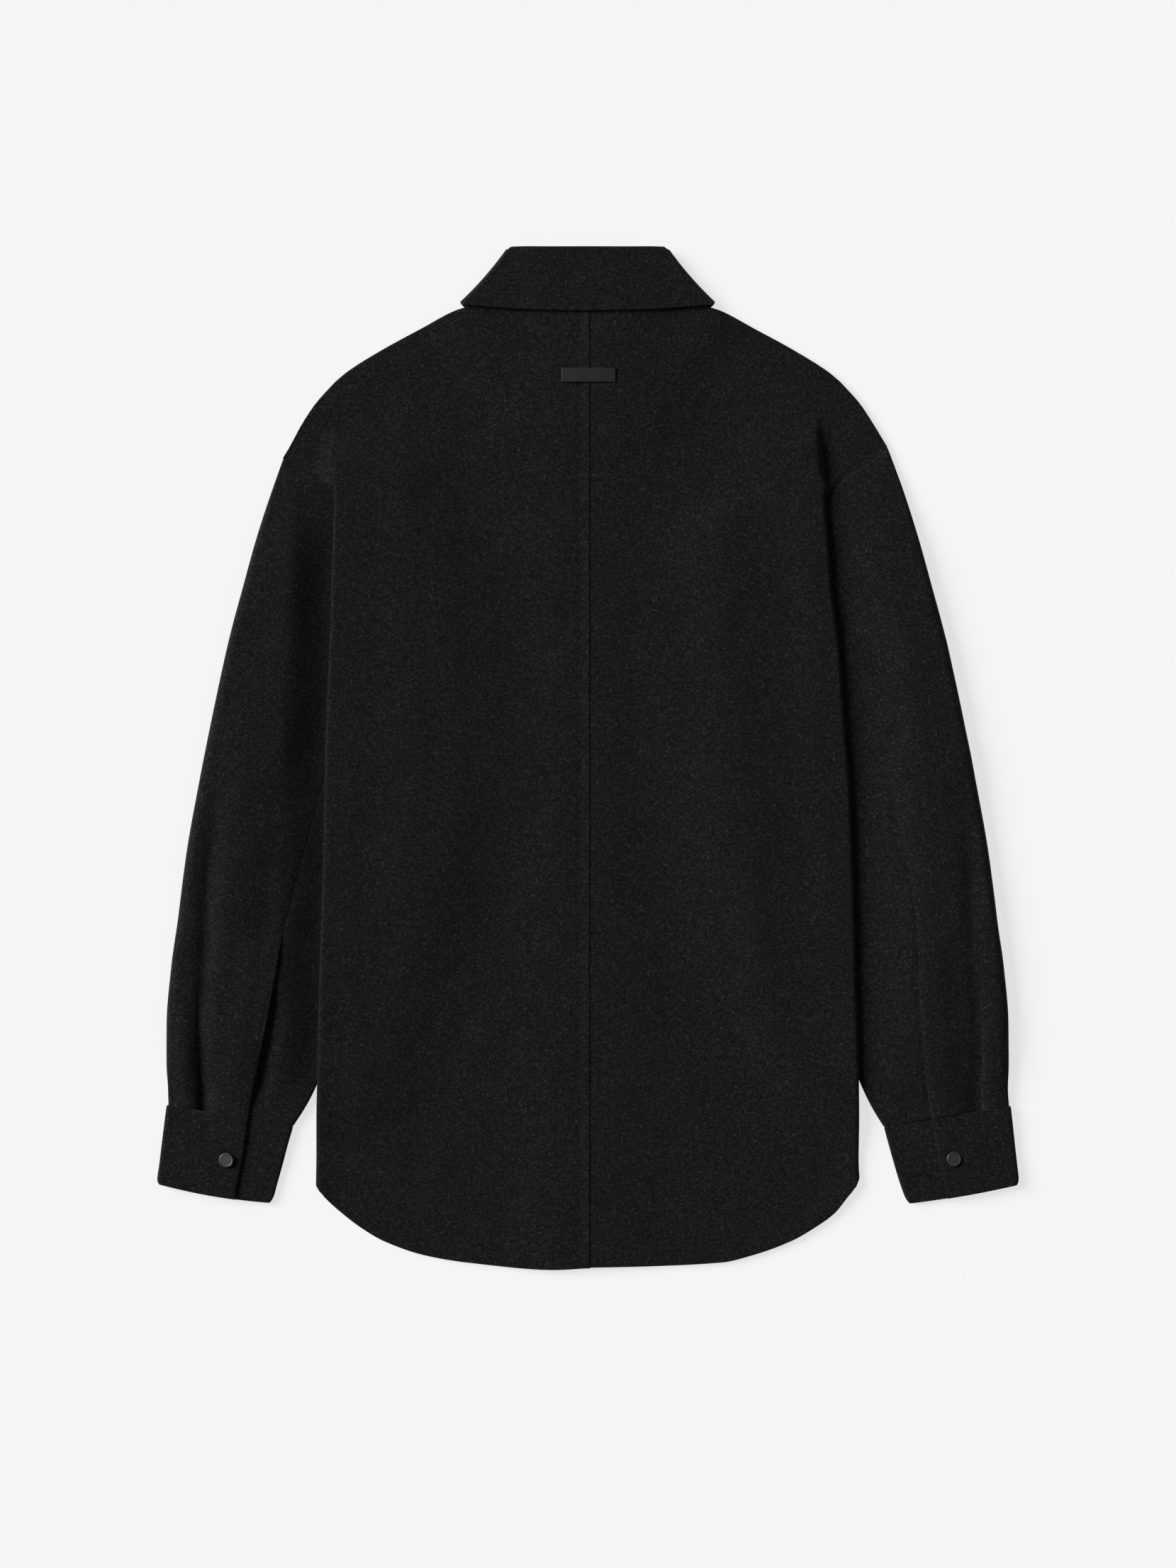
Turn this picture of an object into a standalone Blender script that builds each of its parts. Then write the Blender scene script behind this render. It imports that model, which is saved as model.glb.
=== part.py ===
"""Overshirt of black double-faced wool, laid flat, face down, with its back up.

X runs across the shoulders with the wearer's left at -X, Y from the hem to the collar, Z up from the
surface it lies on. Tables are in millimetres and give each side's distances outward from the centre.
"""

from collections import namedtuple

import bpy
import numpy as np

# Driving dimensions in millimetres
MM = 0.001
CLOTH = 2.0
CUFF_CLOTH = 2.4
GAP = 0.3
PLY = CLOTH + GAP
FLOOR_LEVEL = CLOTH / 2
SLEEVE_TOP = 4.0
SLEEVE_PUFF = 5.6
SLEEVE_CREST = 1.2
CUFF_END_RISE = 1.1
BODY_LIFT = 5.4
EDGE_ROLL = 2.6
EDGE_PUFF = 1.6
LEAF_PLY = PLY + 0.3
PLACKET_LAP = 15.0
FRONT_HEM_RISE = 6.0
SNAP_DIAMETER = 12.5
SNAP_HEIGHT = 2.2
TAB_WIDTH = 45.3
TAB_HEIGHT = 11.8
TAB_THICKNESS = 1.0
TAB_CENTRE = (0.6, 323.8)
SEAM_X = 1.0
SEAM_BAND_RAISE = 0.7
SIDES = {"left": -1, "right": 1}

# Outlines, from the centre outwards
Point = namedtuple("Point", "x y")
HEM = {
    "left": [Point(0, -431.5), Point(29, -433), Point(102, -427), Point(137.4, -421), Point(172.2, -409),
             Point(192.6, -397), Point(208.2, -385), Point(221.4, -373), Point(226, -367.5),
             Point(230, -361)],
    "right": [Point(0, -431), Point(54.6, -430), Point(113.4, -427), Point(139.2, -421), Point(172.2, -409),
              Point(193.2, -397), Point(209.4, -385), Point(219, -373), Point(226, -364), Point(230, -355)],
}
SHOULDER = [Point(85, 396), Point(93, 384), Point(103, 380.2), Point(112, 377.2), Point(141, 362.1),
            Point(174, 344.1), Point(202.8, 326.1), Point(213.6, 317.1)]
BACK_NECK = [Point(0, 389), Point(30, 389.5), Point(60, 391.5)]
FRONT_NECK = [Point(0, 322), Point(30, 326), Point(58, 345), Point(76, 371)]
NECK_AND_SHOULDER = BACK_NECK + SHOULDER
FRONT_NECK_AND_SHOULDER = FRONT_NECK + SHOULDER
SHOULDER_END = {
    "left": [Point(213.6, 317.1), Point(229.8, 299.1), Point(241.8, 281.1), Point(251.4, 263.1),
             Point(257.4, 253)],
    "right": [Point(213.6, 317.1), Point(229.8, 299.1), Point(241.8, 281.1), Point(248.5, 270),
              Point(253, 262.6)],
}

# The body's outer edge: the crest of its side fold, and its side seam or armhole seam
Edge = namedtuple("Edge", "x_fold y_fold x_side y_side")
BODY_EDGE = {
    "left": [
        Edge(225.8, -367.5, 229.8, -361), Edge(225.6, -345, 229.5, -342), Edge(225.2, -310, 229.2, -308),
        Edge(224.2, -262, 228.2, -262), Edge(222.3, -179, 226.3, -179), Edge(219.5, -97, 223.5, -97),
        Edge(218.1, -22, 222.1, -22), Edge(216.2, 41, 220.2, 41), Edge(213.8, 97, 217.8, 97),
        Edge(212.2, 143, 216.2, 143), Edge(210.8, 189, 214.8, 189), Edge(209.6, 215, 213.6, 215),
        Edge(209.4, 229, 214.2, 229), Edge(210.6, 240, 222, 232.2), Edge(210.7, 250, 230, 237.4),
        Edge(210.2, 262, 240, 243), Edge(209.5, 278, 248, 247), Edge(209.8, 290, 253, 249.8),
        Edge(211, 303, 256, 251.8), Edge(213.6, 317.1, 257.4, 253),
    ],
    "right": [
        Edge(225.8, -364, 230, -355), Edge(225.2, -343, 229.2, -340), Edge(225.4, -310, 229.4, -308),
        Edge(224.8, -262, 228.8, -262), Edge(222.3, -179, 226.3, -179), Edge(220.1, -97, 224.1, -97),
        Edge(217, -22, 221, -22), Edge(212, 41, 216.2, 41), Edge(208, 97, 212, 97),
        Edge(202, 143, 206, 143), Edge(198.6, 189, 202.8, 189), Edge(196.6, 208, 200.8, 208),
        Edge(195.8, 221, 200.2, 221), Edge(195.4, 233, 209, 229.4), Edge(194.8, 243, 218, 237.4),
        Edge(193.6, 256, 231, 245.8), Edge(191.8, 271, 241, 253.2), Edge(193, 286, 247, 256.6),
        Edge(200, 303, 250.6, 259.6), Edge(213.6, 317.1, 253, 262.6),
    ],
}
CROSSING = {"left": 229.0, "right": 221.0}
STEP_FADES = {"left": 290.0, "right": 286.0}

# Sleeves from the armhole to the cuff: outer fold, inner fold and the elbow seam on top
Sleeve = namedtuple("Sleeve", "x_outer y_outer x_inner y_inner x_elbow")
SLEEVE = {
    "left": [
        Sleeve(257.8, 252.3, 172, 189.5, 201), Sleeve(268.8, 221.1, 168, 150, 203),
        Sleeve(278.4, 191.1, 160, 112, 206), Sleeve(291, 146, 152, 70, 210),
        Sleeve(303, 101.1, 147, 28, 214), Sleeve(316.2, 41.1, 149, -22, 219),
        Sleeve(328.2, -18.9, 160, -72, 231.8), Sleeve(339, -78.9, 176, -122, 246),
        Sleeve(346.8, -138.9, 194, -174, 259.2), Sleeve(352.5, -180, 207, -212, 266.4),
        Sleeve(356, -222, 219, -248, 273.8), Sleeve(356.4, -258, 230, -279, 280.8),
        Sleeve(355.4, -278, 239, -296, 284.5), Sleeve(355, -293.6, 249, -311.2, 286.9),
    ],
    "right": [
        Sleeve(253.8, 260.4, 165, 191, 190), Sleeve(268.8, 221.1, 163, 152, 194),
        Sleeve(278.4, 191.1, 156, 114, 197), Sleeve(291, 146, 150, 72, 201),
        Sleeve(303, 101.1, 144, 30, 207), Sleeve(316.2, 41.1, 148, -20, 237.5),
        Sleeve(328.2, -18.9, 160, -70, 257.5), Sleeve(339, -78.9, 176, -122, 270.4),
        Sleeve(346.8, -138.9, 194, -174, 278), Sleeve(352.5, -180, 207, -212, 280),
        Sleeve(356, -222, 220, -248, 283), Sleeve(356.4, -258, 232.5, -280, 286.3),
        Sleeve(355.8, -278, 241, -297, 288.4), Sleeve(356.8, -294.4, 250.2, -311.9, 291.3),
    ],
}
FRONT_SEAM_SHARE = 0.3
OUTER_FOLD_REACH = 5.0
HEAD_HIDDEN_SHARE = 0.45
HEAD_GAP = 0.9
HEAD_BEND_LENGTH = 60.0
HEAD_BEND_HIDDEN = 24.0
HEAD_BEND_END = 8.0
PLEAT_INSET = 26.0
PLEAT_WIDTH = 3.0
PLEAT_HEIGHT = 2.4
PLEAT_STARTS = -185.0
PLEAT_FULL = -280.0
SLIT_RISE_STARTS = -110.0
SLIT_STARTS = -165.0
SLIT_FULL = -200.0
SLIT_LAP = 12.0
SLIT_RISE = PLY + 0.5

# Cuffs from the sleeve's end to the lower edge: outer fold, inner fold and the edge that laps on top
Cuff = namedtuple("Cuff", "x_outer y_outer x_inner y_inner x_lap bow")
CUFF = {
    "left": [
        Cuff(355.6, -294.0, 248.8, -311.6, 287.2, 0), Cuff(357.9, -312, 253.6, -328, 289.3, 0.4),
        Cuff(359.9, -328, 257.8, -344, 292.2, 0.9), Cuff(361.8, -344, 262.3, -360, 295.6, 1.5),
        Cuff(363.4, -356, 265.6, -371.5, 297.8, 2), Cuff(362.3, -360.6, 268.6, -376.4, 298.2, 2.2),
    ],
    "right": [
        Cuff(357.4, -294.8, 250.4, -312.3, 291.2, 0), Cuff(359.3, -312, 254.8, -328.5, 293.8, 0.4),
        Cuff(361, -328, 259.3, -344.5, 297, 0.8), Cuff(362.8, -344, 264.2, -360.5, 300.6, 1),
        Cuff(364.1, -356, 268.8, -372.5, 303.4, 1.2), Cuff(363.2, -361.2, 272, -377, 304.5, 1.2),
    ],
}
CUFF_UNDERLAP = 27.0
CUFF_PLY = CUFF_CLOTH + GAP
CUFF_BOTTOM = CUFF_CLOTH / 2
CUFF_INNER_TOP = CUFF_BOTTOM + CUFF_PLY + 0.2
CUFF_LAP_TOP = CUFF_INNER_TOP + CUFF_PLY + 0.1
CUFF_OUTER_TOP = 5.2
SNAP_PLACE = {"left": Point(305.2, -340), "right": Point(309.3, -339.2)}

# The collar from the centre front, round the side fold, to the centre back: the roll line at its top,
# the fall's outer edge and the neck seam's x. The turn is the way that the cloth faces there, in degrees.
Collar = namedtuple("Collar", "turn x_roll y_roll x_edge y_edge x_neck")
COLLAR = [
    Collar(-90, 3, 347, 48, 290, 4), Collar(-90, 18, 348.5, 58, 303, 18), Collar(-90, 34, 356, 69, 322, 34),
    Collar(-90, 47, 372, 82, 343, 53), Collar(-90, 55, 396, 94, 364, 66), Collar(-90, 60, 418, 101, 377, 77),
    Collar(-90, 62.6, 427, 103.4, 380.9, 81), Collar(-45, 62.8, 427, 103.4, 381.4, 82),
    Collar(0, 62.8, 427, 103.4, 381.8, 82), Collar(45, 62.8, 427.2, 103.4, 381.8, 82),
    Collar(90, 62.2, 428, 102, 382.2, 81), Collar(90, 53.5, 430.2, 84, 380.7, 66),
    Collar(90, 36, 430.8, 57, 378.8, 46), Collar(90, 18, 430.8, 30, 377.9, 24),
    Collar(90, 0, 430.8, 0, 377.6, 0),
]
COLLAR_FOLD = 4.3
COLLAR_ROLL = 1.25
COLLAR_BOW = 1.4
NECK_GAP = 1.2
STAND_DROP = 1.4
COLLAR_SIDE = np.array([0.76, 0.65, 0])

# Soft folds over the back, each a rounded ridge between two ends, with signed x
Ridge = namedtuple("Ridge", "x_top y_top x_bottom y_bottom half_width height")
BACK_RIDGES = [
    Ridge(-196, 250, -205, -200, 16, 1.5), Ridge(-126, 270, -120, -120, 20, 1.6),
    Ridge(100, 230, 150, -230, 24, 1.9), Ridge(184, 240, 206, -160, 15, 1.6),
    Ridge(62, 300, 70, 40, 26, 0.9),
]

# Body columns as shares of the way from the centre to the side fold, then past the fold
BACK_COLUMNS = {
    "left": (0, 0.024, 0.031, 0.11, 0.19, 0.27, 0.35, 0.43, 0.51, 0.6, 0.7, 0.8, 0.9, 1),
    "right": (0, 0.05, 0.12, 0.19, 0.27, 0.35, 0.43, 0.51, 0.6, 0.7, 0.8, 0.9, 1),
}
FRONT_COLUMNS = (0, 0.07, 0.14, 0.21, 0.28, 0.34, 0.39, 0.46, 0.53, 0.6, 0.66, 0.73, 0.81, 0.89, 0.95,
                 0.975, 1)
EDGE_COLUMNS = (0.3, 0.64, 0.9, 1)
SEAM_HALF_GAP = GAP / 2 + 0.2
SLEEVE_ROWS = 20
ARC_STEPS = 4

WOOL = (0.0105, 0.0105, 0.0108)
CUFF_WOOL = (0.0105, 0.0107, 0.0122)
TAB_GREY = (0.034, 0.034, 0.035)
SNAP_METAL = (0.075, 0.072, 0.068)


def smooth(value, start, end):
    """A soft step from 0 at start to 1 at end."""
    share = np.clip((np.asarray(value, float) - start) / (end - start), 0, 1)
    return share * share * (3 - 2 * share)


def curve(at, known, values):
    """A smooth curve through a table's values, which never swings past them."""
    known = np.asarray(known, float)
    values = np.asarray(values, float)
    slope = np.diff(values) / np.diff(known)
    inner = np.where(slope[:-1] * slope[1:] > 0,
                     2 * slope[:-1] * slope[1:] / (slope[:-1] + slope[1:] + 1e-12), 0)
    tangent = np.concatenate([slope[:1], inner, slope[-1:]])
    at = np.clip(np.asarray(at, float), known[0], known[-1])
    i = np.clip(np.searchsorted(known, at, side="right") - 1, 0, len(known) - 2)
    width = known[i + 1] - known[i]
    t = (at - known[i]) / width
    return ((1 + 2 * t) * (1 - t) ** 2 * values[i] + t * (1 - t) ** 2 * width * tangent[i]
            + t * t * (3 - 2 * t) * values[i + 1] + t * t * (t - 1) * width * tangent[i + 1])


def outline(at, points):
    """The y of an outline at some x."""
    return curve(at, [p.x for p in points], [p.y for p in points])


def columns_of(rows, count=None):
    """A table's columns by name, each read at count evenly spaced rows."""
    known = np.arange(len(rows))
    at = known if count is None else np.linspace(0, len(rows) - 1, count)
    return {name: curve(at, known, [getattr(row, name) for row in rows]) for name in rows[0]._fields}


def sleeve_inner_x(y, side):
    """How far from the centre the sleeve's hidden edge lies under the body."""
    rows = SLEEVE[side][::-1]
    hidden = curve(y, [r.y_inner for r in rows], [r.x_inner for r in rows])
    head = SLEEVE[side][0]
    share = np.clip((y - head.y_inner) / (head.y_outer - head.y_inner), 0, HEAD_HIDDEN_SHARE)
    return np.where(y > head.y_inner, head.x_inner + share * (head.x_outer - head.x_inner), hidden)


def body_edge_x(y, side):
    """How far from the centre the body's side seam lies."""
    rows = [r for r in BODY_EDGE[side] if r.y_fold <= CROSSING[side]]
    return curve(y, [r.y_fold for r in rows], [r.x_side for r in rows])


def lift_share(y, side):
    """How much of the sleeve's height the body still has, along its length."""
    return smooth(y, -345, -292) * (1 - smooth(y, CROSSING[side] + 7, STEP_FADES[side]))


def leaf_share(x, y):
    """Where the collar's front leaf lies under the front."""
    leaf_edge = 48 + (y - 290) * 0.632
    return smooth(y, 246, 284) * (1 - smooth(x, leaf_edge + 5, leaf_edge + 50))


def front_level(x, y, side):
    """The middle of the front's wall, x measured outward."""
    level = FLOOR_LEVEL + PLY * leaf_share(np.abs(x), y)
    level = level + BODY_LIFT * lift_share(y, side) * smooth(x - sleeve_inner_x(y, side), -72, -34)
    if side == "right":
        level = level + PLY * (1 - smooth(x, PLACKET_LAP + 3, 52))
    return level


def ridges(x, y):
    """The soft folds over the back, x signed."""
    height = np.zeros_like(x)
    for r in BACK_RIDGES:
        along = (y - r.y_bottom) / (r.y_top - r.y_bottom)
        middle = r.x_bottom + along * (r.x_top - r.x_bottom)
        fade = smooth(along, -0.22, 0.12) * (1 - smooth(along, 0.88, 1.22))
        height = height + r.height * fade * np.exp(-((x - middle) / r.half_width) ** 2)
    return height


def back_level(x, y, side):
    """The middle of the back's wall, x measured outward."""
    level = FLOOR_LEVEL + PLY + LEAF_PLY * leaf_share(x, y) + PLY * (1 - smooth(x, PLACKET_LAP + 5, 78))
    level = level + BODY_LIFT * lift_share(y, side) * smooth(x - sleeve_inner_x(y, side), -112, -34)
    below = 1 - smooth(y, CROSSING[side] + 7, STEP_FADES[side])
    puff = EDGE_PUFF * below * np.exp(-((x - body_edge_x(y, side)) / 13) ** 2)
    return level + puff + ridges(x * SIDES[side], y)


def unit(vectors):
    return vectors / np.linalg.norm(vectors, axis=-1, keepdims=True)


def tangents(grid):
    """The way that each of a grid's rows runs at each point. The nearer neighbour counts for more."""
    step = np.diff(grid, axis=1)
    length = np.linalg.norm(step, axis=2, keepdims=True)
    way = step / length
    inside = unit(way[:, :-1] * length[:, 1:] + way[:, 1:] * length[:, :-1])
    return np.concatenate([way[:, :1], inside, way[:, -1:]], axis=1)


def normals(grid):
    """The way that each point of a grid faces."""
    along = tangents(grid.transpose(1, 0, 2)).transpose(1, 0, 2)
    return unit(np.cross(tangents(grid), along))


def wall(name, grid, thickness, colour, raise_outer=0.0, roughness=0.9):
    """A closed wall of even thickness around a grid of points, in millimetres."""
    face = normals(grid)
    raised = thickness / 2 + np.broadcast_to(np.asarray(raise_outer, float), grid.shape[:2])[..., None]
    outer = grid + face * raised
    inner = grid - face * thickness / 2
    rows, columns = grid.shape[:2]
    points = np.concatenate([outer.reshape(-1, 3), inner.reshape(-1, 3)]) * MM
    index = np.arange(rows * columns).reshape(rows, columns)
    under = index + rows * columns
    faces = []
    for i in range(rows - 1):
        for j in range(columns - 1):
            faces.append((index[i, j], index[i, j + 1], index[i + 1, j + 1], index[i + 1, j]))
            faces.append((under[i, j], under[i + 1, j], under[i + 1, j + 1], under[i, j + 1]))
    rim = list(index[0, :]) + list(index[1:, -1]) + list(index[-1, -2::-1]) + list(index[-2:0:-1, 0])
    for here, there in zip(rim, rim[1:] + rim[:1]):
        faces.append((there, here, here + rows * columns, there + rows * columns))
    return add_mesh(name, points, faces, colour, roughness)


def add_mesh(name, points, faces, colour, roughness=0.9, metallic=0.0):
    """A named object with its own material, its faces pointing out."""
    mesh = bpy.data.meshes.new(name)
    mesh.from_pydata([tuple(map(float, p)) for p in points], [], [tuple(map(int, f)) for f in faces])
    mesh.validate()
    if signed_volume(mesh) < 0:
        mesh.flip_normals()
    mesh.shade_smooth()
    mesh.set_sharp_from_angle(angle=0.9)
    material = bpy.data.materials.new(name)
    material.use_nodes = True
    shader = material.node_tree.nodes["Principled BSDF"]
    shader.inputs["Base Color"].default_value = (*colour, 1)
    shader.inputs["Roughness"].default_value = roughness
    shader.inputs["Metallic"].default_value = metallic
    mesh.materials.append(material)
    obj = bpy.data.objects.new(name, mesh)
    bpy.context.scene.collection.objects.link(obj)
    return obj


def signed_volume(mesh):
    """Positive where a closed mesh's faces point out."""
    total = 0.0
    for polygon in mesh.polygons:
        corners = [mesh.vertices[i].co for i in polygon.vertices]
        for second, third in zip(corners[1:], corners[2:]):
            total += corners[0].dot(second.cross(third))
    return total


def body_plan(side, columns, x_centre, top):
    """The plan of a body panel: x and y of its columns up to the side fold, at each row of its table."""
    edge = columns_of(BODY_EDGE[side])
    hem = HEM[side]
    share = (edge["y_fold"] - edge["y_fold"][0]) / (edge["y_fold"][-1] - edge["y_fold"][0])
    across = np.asarray(columns)[None, :]
    along = share[:, None]
    x = x_centre + across * (edge["x_fold"][:, None] - x_centre)
    bottom_x = x_centre + across * (edge["x_fold"][0] - x_centre)
    top_x = x_centre + across * (edge["x_fold"][-1] - x_centre)
    bottom_y = outline(np.abs(bottom_x), hem)
    top_y = outline(np.abs(top_x), top)
    y_middle = bottom_y[:, :1] + along * (top_y[:, :1] - bottom_y[:, :1])
    y = y_middle + across * (edge["y_fold"][:, None] - y_middle)
    y = y + (1 - along) * (bottom_y - bottom_y[:, :1] - across * (bottom_y[:, -1:] - bottom_y[:, :1]))
    y = y + along * (top_y - top_y[:, :1] - across * (top_y[:, -1:] - top_y[:, :1]))
    return x, y


def side_edge(side, level_in, level_seam, level_out, toward, flat_from, flat_to):
    """The columns past the side fold: a roll down to the side seam, and above it a step to the shoulder."""
    edge = columns_of(BODY_EDGE[side])
    crossing = CROSSING[side]
    flat = smooth(edge["y_fold"], crossing + flat_from, crossing + flat_to)[:, None]
    past = np.asarray(EDGE_COLUMNS)[None, :]
    angle = (1 - past) * np.pi / 2
    x_fold, y_fold = edge["x_fold"][:, None], edge["y_fold"][:, None]
    x_side, y_side = edge["x_side"][:, None], edge["y_side"][:, None]
    centre = x_side - CLOTH / 2 - EDGE_ROLL
    roll_x = centre + EDGE_ROLL * np.cos(angle)
    seam = level_seam[:, None] + toward * SEAM_HALF_GAP
    roll_z = seam + (level_in[:, None] - seam) * np.sin(angle)
    step_x = x_fold + past ** 1.6 * (x_side - x_fold)
    step_y = y_fold + past ** 1.6 * (y_side - y_fold)
    shoulder = SHOULDER_END[side]
    top_x = x_fold[-1] + past ** 1.6 * (x_side[-1] - x_fold[-1])
    bow = outline(top_x, shoulder) - (y_fold[-1] + past ** 1.6 * (y_side[-1] - y_fold[-1]))
    step_y = step_y + bow * smooth(y_fold, crossing, y_fold[-1, 0])
    distance = np.hypot(step_x - x_fold, step_y - y_fold)
    step_z = level_out + (level_in[:, None] - level_out) * (1 - smooth(distance, 0, 7))
    x = (1 - flat) * roll_x + flat * step_x
    y = (1 - flat) * (y_fold + past * (y_side - y_fold)) + flat * step_y
    z = (1 - flat) * roll_z + flat * step_z
    return np.stack([x, y, z], axis=2)


def body_panel(side, layer):
    """The middle surface of one front or back panel, x measured outward."""
    if layer == "back":
        x_centre = SEAM_X * SIDES[side] + GAP / 2
        plan_x, plan_y = body_plan(side, BACK_COLUMNS[side], x_centre, NECK_AND_SHOULDER)
        level = back_level(plan_x, plan_y, side)
    else:
        plan_x, plan_y = body_plan(side, FRONT_COLUMNS, -PLACKET_LAP, FRONT_NECK_AND_SHOULDER)
        plan_y = plan_y + FRONT_HEM_RISE * (1 - smooth(plan_y, -430, -330)) * (1 - smooth(plan_x, 190, 222))
        level = front_level(plan_x, plan_y, side)
        edge = columns_of(BODY_EDGE[side])
        above = smooth(edge["y_fold"], CROSSING[side] - 1, CROSSING[side] + 18)[:, None]
        stepped = smooth(plan_x - edge["x_fold"][:, None], -11, -1)
        level = FLOOR_LEVEL + (level - FLOOR_LEVEL) * (1 - above * stepped)
    back_edge = back_level(plan_x[:, -1], plan_y[:, -1], side)
    front_edge = front_level(plan_x[:, -1], plan_y[:, -1], side)
    seam = (back_edge + front_edge) / 2
    ply_level = FLOOR_LEVEL + PLY if layer == "back" else level[:, -1:]
    flat_rows = (-1, 18) if layer == "back" else (-16, -2)
    past = side_edge(side, level[:, -1], seam, ply_level, 1 if layer == "back" else -1, *flat_rows)
    inside = np.stack([plan_x, plan_y, level], axis=2)
    return np.concatenate([inside, past], axis=1)


def placed(grid, sign):
    """A grid with outward distances, put on its own side."""
    return grid * np.array([sign, 1, 1])


def make_body():
    for side, sign in SIDES.items():
        back = body_panel(side, "back")
        band = np.zeros(back.shape[:2])
        if side == "left":
            band[:, :2] = SEAM_BAND_RAISE
        wall(f"back_{side}", placed(back, sign)[:, ::sign], CLOTH, WOOL, raise_outer=band[:, ::sign])
        front = body_panel(side, "front")
        wall(f"front_{side}", placed(front, sign)[:, ::sign], CLOTH, WOOL)


def sleeve_top_level(x, y, side, x_outer):
    """The sleeve's upper wall, x measured outward: flat under the body and at its ends, full beyond."""
    full = smooth(y, -298, -225) * (1 - smooth(y, 178, 250))
    outside = smooth(x - body_edge_x(y, side), 9, 32)
    crest = np.exp(-((x - (x_outer - 42)) / 26) ** 2)
    rise = full * (SLEEVE_PUFF + SLEEVE_CREST * crest) + CUFF_END_RISE * (1 - smooth(y, -298, -225))
    return SLEEVE_TOP + outside * rise


def row_frame(row):
    """The inner fold's point of a row, the direction across it and its width."""
    inner = np.array([row["x_inner"], row["y_inner"]])
    across = np.array([row["x_outer"], row["y_outer"]]) - inner
    width = np.linalg.norm(across)
    return inner, across / width, width


def head_bend(x, row, side):
    """How far a point near the sleeve's head moves up, so that the head follows the armhole seam."""
    seam = [r for r in BODY_EDGE[side] if r.y_fold >= CROSSING[side]]
    head = SLEEVE[side][0]
    slope = (head.y_outer - head.y_inner) / (head.x_outer - head.x_inner)
    start, end = seam[0].x_side, seam[-1].x_side
    reached = np.clip(x, start, end)
    wanted = np.interp(reached, [r.x_side for r in seam], [r.y_side for r in seam]) - HEAD_GAP
    bend = wanted - (head.y_inner + slope * (reached - head.x_inner))
    bend = bend * smooth(x, start - HEAD_BEND_HIDDEN, start) * (1 - smooth(x, end - HEAD_BEND_END, end))
    return bend * (1 - smooth(head.y_outer - row["y_outer"], 0, HEAD_BEND_LENGTH))


def sleeve_point(row, place, distance, side, angle=0.0, extra=0.0):
    """A point of the sleeve's middle surface. Distance is from the inner fold along the row."""
    inner, across, width = row_frame(row)
    spot = inner + across * distance
    level = sleeve_top_level(spot[0], spot[1], side, row["x_outer"]) + extra
    if place == "bottom":
        level = FLOOR_LEVEL
    elif place != "top":
        radius = (level - FLOOR_LEVEL) / 2
        reach = radius * np.cos(np.radians(angle))
        spot = spot + across * (reach if place == "outer" else -reach)
        level = FLOOR_LEVEL + radius + radius * np.sin(np.radians(angle))
    return (spot[0], spot[1] + head_bend(spot[0], row, side), level)


def sleeve_rows(side):
    table = columns_of(SLEEVE[side], SLEEVE_ROWS)
    return [{name: values[i] for name, values in table.items()} for i in range(SLEEVE_ROWS)]


def elbow_distance(row):
    inner, across, width = row_frame(row)
    return (row["x_elbow"] - inner[0]) / across[0]


def outer_round_start(row, side):
    """How far along a row its outer fold begins, so that the fold ends at the outline."""
    inner, across, width = row_frame(row)
    near_end = inner + across * (width - OUTER_FOLD_REACH)
    top = sleeve_top_level(near_end[0], near_end[1], side, row["x_outer"])
    return width - CLOTH / 2 - (top - FLOOR_LEVEL) / 2


def pleat_extra(distance, pleat, y):
    """The sleeve's rise where the pleat's outer part laps over its inner part."""
    full = 1 - smooth(y, PLEAT_FULL, PLEAT_STARTS)
    step = smooth(distance, pleat - PLEAT_WIDTH / 2, pleat + PLEAT_WIDTH / 2)
    trough = -0.8 * np.exp(-((distance - pleat + 5) / 9) ** 2) * (1 - smooth(y, -200, -60))
    return PLEAT_HEIGHT * full * step * (1 - smooth(distance, pleat + 8, pleat + 24)) + trough


def outer_sleeve(side):
    """From the elbow seam on top, round the outer fold, to the front seam underneath."""
    grid = []
    for row in sleeve_rows(side):
        inner, across, width = row_frame(row)
        start = elbow_distance(row) + GAP / 2
        end = outer_round_start(row, side)
        pleat = width - PLEAT_INSET
        y_elbow = inner[1] + across[1] * start
        rise = SLIT_RISE * (1 - smooth(y_elbow, SLIT_STARTS + 5, SLIT_RISE_STARTS))
        tops = list(start + (pleat - PLEAT_WIDTH / 2 - start) * np.array([0, 0.12, 0.35, 0.65, 1]))
        tops += [pleat + PLEAT_WIDTH / 2, pleat + 11]
        points = []
        for distance in tops:
            y = inner[1] + across[1] * distance
            extra = pleat_extra(distance, pleat, y) + rise * (1 - smooth(distance - start, 14, 38))
            points.append(sleeve_point(row, "top", distance, side, extra=extra))
        for k in range(ARC_STEPS + 1):
            points.append(sleeve_point(row, "outer", end, side, angle=90 - 180 * k / ARC_STEPS))
        seam = FRONT_SEAM_SHARE * width + GAP / 2
        for share in (0.3, 0.65, 1):
            points.append(sleeve_point(row, "bottom", end + (seam - end) * share, side))
        grid.append(points)
    return np.array(grid, float)


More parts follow.
